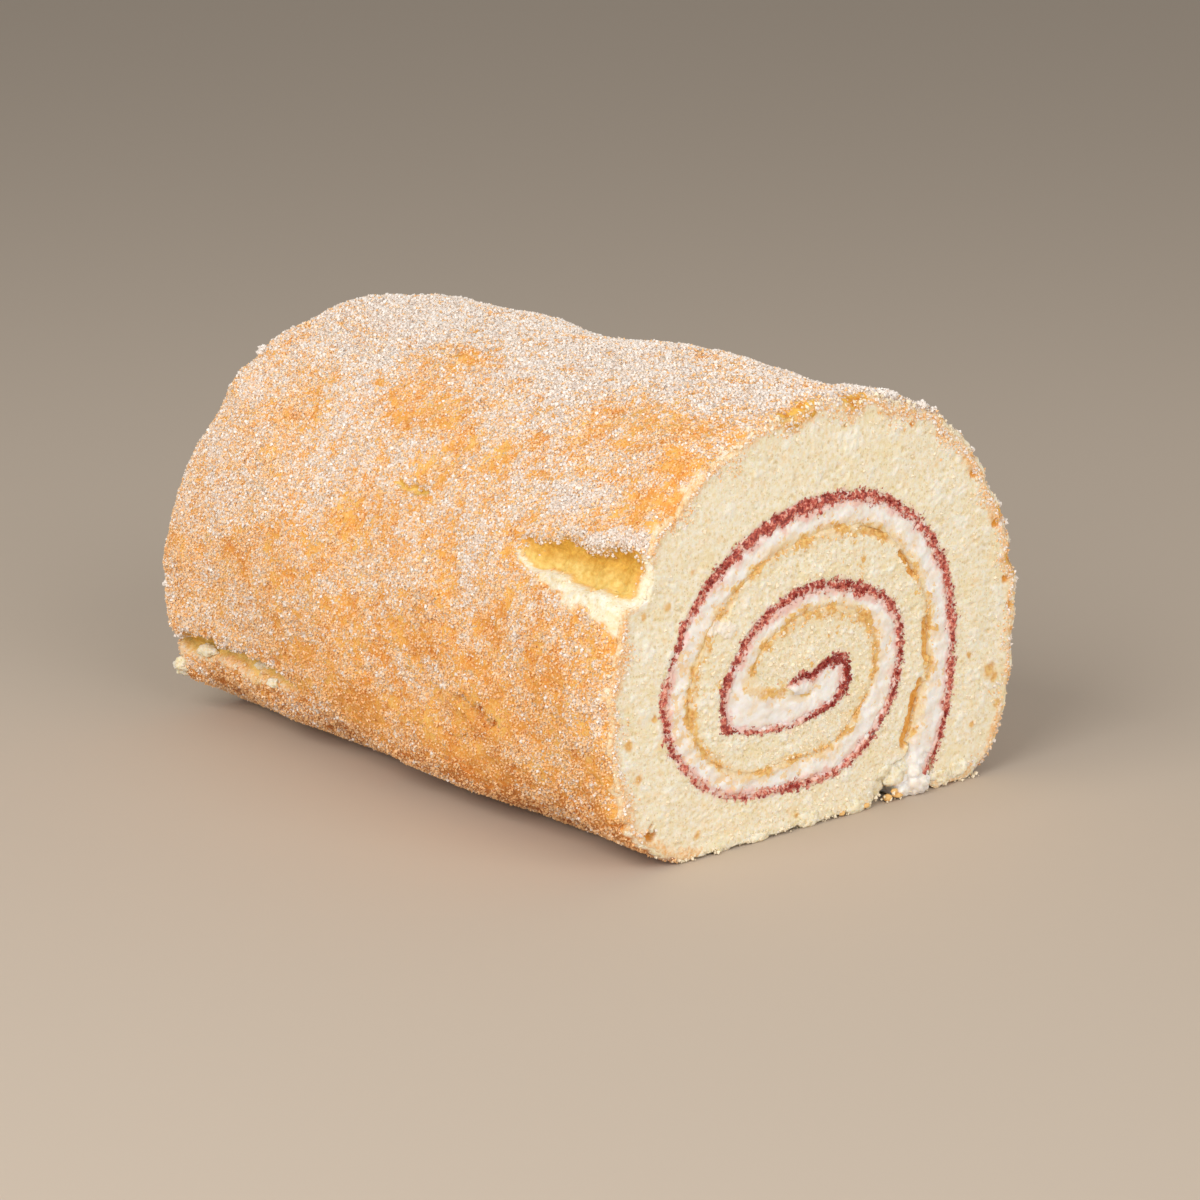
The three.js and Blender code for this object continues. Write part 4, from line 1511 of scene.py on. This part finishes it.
# %% Knots of sugar, and places picked by a value of the skin
SUGAR_CLUMPS = [
    # knots of damp sugar at the two rims: angle, distance, how far proud, reach, grains
    (119.5, 127.0, 0.6, 1.2, 190),
    (115.5, 127.5, 0.5, 1.0, 130),
    (110.0, 127.5, 0.3, 0.8, 80),
    (178.0, 129.0, 0.1, 0.8, 80),
    (71.8, 1.2, 0.5, 0.9, 90),
    (68.0, 1.8, 0.3, 0.7, 60),
    (61.1, 1.0, 0.4, 0.8, 70),
    (44.0, 1.0, 0.3, 0.6, 40),
    (25.1, 1.0, 0.5, 0.6, 30),
    (29.0, 1.4, 0.4, 0.6, 30),
    (12.0, 1.2, 0.3, 0.6, 30),
]


def clump_places(dice):
    """Places packed into each clump of sugar."""
    clumps = []
    for angle, distance, proud, reach, count in SUGAR_CLUMPS:
        x, from_near, z = on_skin(angle, distance, proud)
        way = dice.normal(size=(count, 3))
        way *= reach * dice.random((count, 1)) ** (1 / 3) / np.linalg.norm(way, axis=1, keepdims=True)
        clumps.append(np.array([x, NEAR + from_near, z]) + way)
    return np.concatenate(clumps)


def skin_places(dice, count, key):
    """Places on the skin where one of its values is high."""
    weight = on_cells(skin_values[key]) ** 2 / np.maximum(cell_show, 0.05)
    return scatter(dice, count, weight)[0]


# %% Scatter the chips
CHIPS_SEED = 21
RIM_CRUMBS = 260
RIM_CRUMB_ANGLES = (50, 116)

dice = np.random.default_rng(CHIPS_SEED)
rim_angle = dice.uniform(*RIM_CRUMB_ANGLES, RIM_CRUMBS)
rim_radius = ring_radius(rim_angle) - np.abs(dice.normal(0, 2.2, RIM_CRUMBS))
pale_places = [
    both_ends(foot_places, dice, 200, 200),
    face_places(rim_angle, rim_radius, dice.uniform(0.0, 0.4, RIM_CRUMBS), False),
    skin_places(dice, 120, "torn"),
    both_ends(crumb_places, dice, 900, 450),
]
gold_places = both_ends(crust_line_places, dice, 420, 420)
pulp_places = both_ends(jam_places, dice, 1500, 900)
sugar_places = [skin_places(dice, 80, "frosted"), clump_places(dice)]
CHIPS = {
    # name: (places, smallest, largest, slot)
    "crumbs_pale": (np.concatenate(pale_places), 0.25, 0.9, "sponge"),
    "crumbs_gold": (gold_places, 0.25, 0.7, "sponge"),
    "jam_pulp": (pulp_places, 0.25, 0.75, "jam"),
    "sugar_lumps": (np.concatenate(sugar_places), 0.4, 0.8, "sugar"),
}
chip_pieces = {}
for name, (places, smallest, largest, slot_name) in CHIPS.items():
    sizes = smallest + (largest - smallest) * dice.random(len(places)) ** 2
    chip_pieces[name] = grains(name, dice, places, sizes, *SHAPES["chip"])
    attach(chip_pieces[name], "root")

# %% [markdown]
# ## Finishes
#
# The colours are procedural: noise and cells at their real size in millimetres, mixed by the values
# that were stored on the meshes. To keep the shader maths readable, a node's output is wrapped in a
# small class, so that sums and products in Python add the Math nodes.


# %% A wire between nodes
class Wire:
    """The output of a node. Maths on wires adds Math nodes."""

    def __init__(self, finish, socket):
        self.finish = finish
        self.socket = socket

    def least(self, other):
        return self.maths("MINIMUM", self, other)

    def maths(self, operation, *values):
        return self.finish.node("ShaderNodeMath", {"operation": operation}, dict(enumerate(values)))

    def __add__(self, other):
        return self.maths("ADD", self, other)

    def __sub__(self, other):
        return self.maths("SUBTRACT", self, other)

    def __rsub__(self, other):
        return self.maths("SUBTRACT", other, self)

    def __mul__(self, other):
        return self.maths("MULTIPLY", self, other)

    def __gt__(self, other):
        return self.maths("GREATER_THAN", self, other)

    __radd__ = __add__
    __rmul__ = __mul__

    def step(self, low, high):
        """A smooth step from 0 at low to 1 at high."""
        settings = {"interpolation_type": "SMOOTHSTEP"}
        sockets = {"Value": self, "From Min": low, "From Max": high}
        return self.finish.node("ShaderNodeMapRange", settings, sockets)


# %% Colours
def shade(red, green, blue):
    """A colour as a screen shows it, 0 to 255, as the linear colour that a shader takes."""
    share = np.array([red, green, blue]) / 255
    linear = np.where(share <= 0.04045, share / 12.92, ((share + 0.055) / 1.055) ** 2.4)
    return (*linear.tolist(), 1.0)


# %% A finish that collects nodes
class Finish:
    """One material, built node by node."""

    def __init__(self, name, **constants):
        self.material = bpy.data.materials.new(name)
        self.material.use_nodes = True
        self.tree = self.material.node_tree
        self.shader = self.tree.nodes["Principled BSDF"]
        for key, value in constants.items():
            self.shader.inputs[key.replace("_", " ").title()].default_value = value
        in_mm = {"operation": "SCALE"}
        place = self.node("ShaderNodeTexCoord", {}, {}, "Object")
        self.place = self.node("ShaderNodeVectorMath", in_mm, {"Vector": place, "Scale": 1 / MM})

    def node(self, kind, settings, sockets, output=0):
        """Adds a node, sets it up, links or fills its sockets and gives the wire of one output."""
        made = self.tree.nodes.new(kind)
        for key, value in settings.items():
            if key == "stops":
                while len(made.color_ramp.elements) < len(value):
                    made.color_ramp.elements.new(0.5)
                for element, (at, colour) in zip(made.color_ramp.elements, value):
                    element.position = at
                    element.color = colour
            else:
                setattr(made, key, value)
        for key, value in sockets.items():
            if isinstance(value, Wire):
                self.tree.links.new(value.socket, made.inputs[key])
            else:
                made.inputs[key].default_value = value
        return Wire(self, made.outputs[output])

    def stored(self, name):
        """A value that was stored on the mesh."""
        return self.node("ShaderNodeAttribute", {"attribute_name": name}, {}, "Fac")

    def clouds(self, size, detail=2, roughness=0.5):
        """Noise from 0 to 1 whose lumps are `size` millimetres across."""
        sockets = {"Vector": self.place, "Scale": 1 / size, "Detail": detail, "Roughness": roughness}
        return self.node("ShaderNodeTexNoise", {}, sockets)

    def shake(self, size, reach, detail=2):
        """Noise from about -reach to reach, to make the edge of a mask ragged."""
        return (self.clouds(size, detail, 0.65) - 0.5) * (5 * reach)

    def cells(self, size, output="Distance"):
        """Cells `size` millimetres across: the distance from the middle, or a colour for each."""
        return self.node("ShaderNodeTexVoronoi", {}, {"Vector": self.place, "Scale": 1 / size}, output)

    def lottery(self, size):
        """A random number from 0 to 1 for each cell."""
        return self.node("ShaderNodeSeparateColor", {}, {"Color": self.cells(size, "Color")}, "Red")

    def blend(self, mask, first, second):
        """The first colour where the mask is 0, and the second where it is 1."""
        sockets = {0: mask, 6: first, 7: second}
        return self.node("ShaderNodeMix", {"data_type": "RGBA"}, sockets, 2)

    def ramp(self, value, *stops):
        return self.node("ShaderNodeValToRGB", {"stops": stops}, {"Fac": value}, "Color")

    def mottled(self, size, detail, *stops):
        """Colours that change in clouds `size` millimetres across."""
        return self.ramp(self.clouds(size, detail), *stops)

    def bump(self, height, distance, strength=1.0):
        """Turns a height from 0 to 1, `distance` millimetres high, into a normal."""
        sockets = {"Height": height, "Distance": distance * MM, "Strength": strength}
        return self.node("ShaderNodeBump", {}, sockets, "Normal")

    def wear(self, piece, **wires):
        """Links what varies to the shader and puts the finish on a piece."""
        for key, wire in wires.items():
            self.tree.links.new(wire.socket, self.shader.inputs[key.replace("_", " ")])
        piece.data.materials.append(self.material)


# %% [markdown]
# ### Crumb and baked skin
#
# Cut sponge is pale cream with faint yellow blotches, and its small pores are painted as olive specks:
# painted shade inside the holes, with the crumb's yellower colour there. The same look is used for
# the cut face and for the places where the skin is torn off, so that no line shows between them. The
# skin is golden where it is thin and orange-brown where it is baked harder, and it is painted browner
# near the board and up the low side, as painted shade. Sugar dust shows as pale specks, as small as
# the grains and more of them where the cover is high. Cracks show the yellow crumb underneath, painted
# darker under the upper lip as shade. Light sinks a millimetre or more into cake and cream, the red
# part of it furthest, and that is what makes them look soft.


# %% The look of plain crumb
def crumb_look(finish):
    """The colour and the fine height of cut sponge."""
    colour = finish.ramp(
        finish.clouds(0.9, 4, 0.6),
        (0.3, shade(236, 214, 164)),
        (0.45, shade(248, 233, 200)),
        (0.66, shade(254, 246, 228)),
    )
    colour = finish.blend(finish.clouds(4.5, 3).step(0.5, 0.7) * 0.35, colour, shade(244, 222, 162))
    # The olive specks stand for small pores: painted shade inside the holes, with the crumb's yellower
    # colour there. They are colour only.
    for size, share, strength in ((1.2, 0.7, 0.35), (0.6, 0.62, 0.4)):
        specks = (0.6 - finish.cells(size)).step(0.26, 0.42) * (finish.lottery(size) > share)
        colour = finish.blend(specks * strength, colour, shade(196, 164, 92))
    return colour, finish.clouds(0.4, 3, 0.7)


# %% The crust's finish
SOAKED_LIGHT = {"subsurface_scale": 0.0015, "subsurface_radius": (1.0, 0.7, 0.45)}

skin_finish = Finish("baked_skin", roughness=0.62, subsurface_weight=0.2, **SOAKED_LIGHT)
cover_wire = skin_finish.stored("cover")
# Browning is the crust's own uneven baking, plus painted shade near the board from the stored foot value.
browning_and_foot_shade = skin_finish.clouds(7.0, 4, 0.6) + 1.1 * skin_finish.stored("foot")
browning_and_foot_shade = browning_and_foot_shade + 0.04 * (1 - cover_wire).step(0.55, 0.9)
baked_colour = skin_finish.ramp(
    browning_and_foot_shade,
    (0.3, shade(249, 200, 108)),
    (0.5, shade(242, 172, 76)),
    (0.72, shade(224, 138, 48)),
    (1.0, shade(178, 96, 34)),
)
flecks = skin_finish.clouds(0.5, 3, 0.7)
baked_colour = skin_finish.blend(flecks.step(0.5, 0.62) * 0.55, baked_colour, shade(252, 214, 150))
baked_colour = skin_finish.blend(flecks.step(0.44, 0.3) * 0.5, baked_colour, shade(196, 118, 44))
spots = skin_finish.cells(2.2).step(0.3, 0.12) * (skin_finish.lottery(2.2) > 0.82)
baked_colour = skin_finish.blend(spots * 0.6, baked_colour, shade(196, 112, 40))

# %% Sugar dust on the skin
SPECK_SIZE = 0.42
dust = skin_finish.lottery(SPECK_SIZE) * 0.9 + 0.4 * skin_finish.clouds(2.5, 2)
dusted = (cover_wire + 0.2 - dust).step(0.0, 0.2)
dust_peach = skin_finish.mottled(0.6, 1, (0.3, shade(238, 184, 122)), (0.65, shade(254, 232, 204)))
dust_white = skin_finish.mottled(0.6, 1, (0.3, shade(228, 206, 186)), (0.65, shade(240, 230, 223)))
dust_colour = skin_finish.blend(skin_finish.stored("white"), dust_peach, dust_white)
skin_colour = skin_finish.blend(dusted * 0.85, baked_colour, dust_colour)

# %% Torn and cracked skin
torn_colour, torn_height = crumb_look(skin_finish)
amber = skin_finish.mottled(1.4, 3, (0.35, shade(214, 134, 40)), (0.6, shade(246, 192, 84)))
skin_colour = skin_finish.blend(skin_finish.stored("amber") * (1 - 0.6 * dusted), skin_colour, amber)
fuzzy = (skin_finish.stored("torn") + 0.5 * skin_finish.clouds(0.7, 3, 0.7) - 0.25).step(0.1, 0.9)
skin_colour = skin_finish.blend(fuzzy, skin_colour, torn_colour)
# Painted shade: the crack floor is darker gold under the upper lip and lighter towards the lower lip.
gold_dark = skin_finish.mottled(0.9, 3, (0.3, shade(206, 148, 44)), (0.7, shade(238, 188, 78)))
gold_light = skin_finish.mottled(0.9, 3, (0.3, shade(232, 190, 92)), (0.7, shade(248, 222, 140)))
gold_colour = skin_finish.blend(skin_finish.stored("pale_floor"), gold_dark, gold_light)
skin_colour = skin_finish.blend(skin_finish.stored("gold"), skin_colour, gold_colour)
grit = (1 - skin_finish.cells(SPECK_SIZE).step(0.0, 0.55)) * dusted + 0.6 * skin_finish.clouds(0.8, 3)
grit = grit + 0.8 * flecks * (1 - dusted)
relief = grit * (1 - skin_finish.stored("torn")) + torn_height * skin_finish.stored("torn") * 0.7
skin_finish.wear(crust, Base_Color=skin_colour, Normal=skin_finish.bump(relief, 0.3))

# %% [markdown]
# ### Cut faces
#
# Crumb, jam and cream are three meshes with one finish between them. It paints by the stored distances
# from the jam's line and from the baked side, each shaken by noise, so a colour can cross from one mesh
# to the next and no seam shows. Crumb turns gold beside a baked side and pink beside the jam.

# %% Plain crumb and plain cream, for the lumps
SOFT = {"subsurface_weight": 0.25, **SOAKED_LIGHT}


def cream_look(finish):
    """The colour and the height of smeared cream."""
    colour = finish.mottled(2.2, 3, (0.35, shade(243, 230, 215)), (0.6, shade(254, 249, 243)))
    return colour, finish.clouds(0.9, 2)


for name, look, roughness, height, piece in (
    ("plain_crumb", crumb_look, 0.85, 0.2, crumb_foot),
    ("whipped_cream", cream_look, 0.5, 0.15, ooze),
):
    finish = Finish(name, roughness=roughness, **SOFT)
    plain_colour, plain_height = look(finish)
    finish.wear(piece, Base_Color=plain_colour, Normal=finish.bump(plain_height, height))

# %% Crumb and cream of the cut face
face = Finish("cut_face", **SOFT)
depth, width, filling = face.stored("depth"), face.stored("jam_width"), face.stored("filling")
crumb_colour, crumb_height = crumb_look(face)
cream_colour, cream_height = cream_look(face)
gold = face.ramp(face.clouds(0.8, 3, 0.6), (0.32, shade(216, 146, 58)), (0.64, shade(246, 204, 126)))

creamy = depth.least(filling - 0.3) + face.shake(2.4, 1.0) + face.shake(0.7, 0.45)
creamy = creamy.step(-0.15, 0.35)
crumb_colour = face.blend(face.stored("pale") * 0.55, crumb_colour, shade(255, 250, 238))
layers = face.blend(creamy, crumb_colour, cream_colour)
# Painted shade: the sunk pores are painted darker and olive wherever no cream covers them.
layers = face.blend(face.stored("holes") * (1 - creamy) * 0.5, layers, shade(212, 182, 112))

# %% The baked line and the rim
tinted = (2.0 - filling).least(2.4 + filling) + face.shake(2.6, 1.8)
layers = face.blend(tinted.step(0.0, 1.6) * 0.45, layers, shade(248, 214, 160))
mess = face.stored("mess")
crust_flecks = (face.clouds(1.7, 3, 0.65) + 0.12 * mess).step(0.64, 0.69) * creamy
layers = face.blend(crust_flecks * 0.75, layers, shade(246, 208, 150))
patches = face.clouds(2.7, 3).step(0.43, 0.56)
from_baked = (0.6 - filling).least(face.stored("gold_width") + 0.3 + filling)
from_baked = from_baked + face.shake(2.3, 1.2) + face.shake(0.8, 0.7)
layers = face.blend(from_baked.step(-0.1, 0.6) * (0.22 + 0.75 * patches), layers, gold)
rim = (face.stored("rim_gold") + face.shake(2.0, 0.8) + face.shake(0.7, 0.5)).step(-0.5, 1.5)
rim_colour = face.ramp(face.clouds(0.6, 3, 0.7), (0.36, shade(238, 172, 94)), (0.62, shade(252, 224, 184)))
layers = face.blend(rim * 0.85, layers, rim_colour)

# %% Jam, and the listed marks
beside_jam = (1.4 - (depth - width)).least(depth + 0.8) + face.shake(1.8, 0.8)
layers = face.blend(beside_jam.step(-0.1, 1.4) * 0.7, layers, shade(244, 184, 170))
ragged = face.shake(2.0, 0.85) * (0.85 + 0.5 * mess) + face.shake(0.65, 0.85, 3)
in_jam = (depth + 0.3).least(width - depth) + ragged
clots = face.clouds(0.8, 3, 0.75) * 2.0 - 0.68 + 0.25 * face.stored("jam_dark")
jam_colour = face.ramp(
    clots + in_jam.step(0.0, 0.9) * 0.12,
    (0.3, shade(248, 186, 166)),
    (0.46, shade(232, 136, 112)),
    (0.62, shade(196, 74, 58)),
    (0.82, shade(138, 34, 28)),
)
jammy = in_jam.step(-0.1, 0.2)
layers = face.blend(jammy * 0.95, layers, jam_colour)
for key, strength, colour in (
    ("stain", 0.75, shade(232, 176, 90)),
    ("baked", 1.0, gold),
    ("deep", 1.0, shade(230, 150, 42)),
    ("smear", 0.8, shade(252, 240, 226)),
):
    layers = face.blend(face.stored(key) * strength, layers, colour)
wetness = 0.85 - 0.35 * creamy - 0.3 * jammy
height = crumb_height * (1 - 0.8 * creamy)
height = height + jammy * face.clouds(0.5, 3, 0.7) * 1.5 + creamy * cream_height * 0.6
face_normal = face.bump(height, 0.15)
for piece in (crumb, jam, cream):
    face.wear(piece, Base_Color=layers, Roughness=wetness, Normal=face_normal)

# %% [markdown]
# ### Grains and crumbs
#
# A grain is too small to need a pattern. Four plain colours, from golden to white, and four degrees of
# gloss mix into sugar by eye: the clearest grains let the crust shine through and look peach.

# %% Finishes of the grains and chips
GRAIN_LOOKS = {
    # piece: (colour, roughness)
    "sugar_fine": (shade(247, 198, 138), 0.45),
    "sugar_bright": (shade(242, 228, 214), 0.4),
    "sugar_clear": (shade(252, 222, 184), 0.35),
    "sugar_coarse": (shade(243, 234, 225), 0.3),
    "crumbs_pale": (shade(246, 232, 204), 0.85),
    "crumbs_gold": (shade(240, 192, 122), 0.8),
    "jam_pulp": (shade(152, 46, 36), 0.3),
    "sugar_lumps": (shade(246, 237, 228), 0.5),
}
small_pieces = {**sugar_pieces, **chip_pieces}
for name, (colour, roughness) in GRAIN_LOOKS.items():
    finish = Finish(name, base_color=colour, roughness=roughness)
    finish.wear(small_pieces[name])
flakes.data.materials.append(bpy.data.materials["crumbs_gold"])
print("finishes:", len(bpy.data.materials))

# %% [markdown]
# ## The floor
#
# The floor is a prop that catches the shadow, so it is kept out of the cake.

# %% The floor
FLOOR_REACH = 4.0
floor_corners = [(x * FLOOR_REACH, y * FLOOR_REACH, 0) for x, y in ((-1, -1), (1, -1), (1, 1), (-1, 1))]
floor_mesh = bpy.data.meshes.new("floor")
floor_mesh.from_pydata(floor_corners, [], [(0, 1, 2, 3)])
floor = add_object("floor", floor_mesh)
floor_finish = Finish("pale_floor", base_color=shade(198, 182, 164), roughness=0.8)
floor_finish.wear(floor)
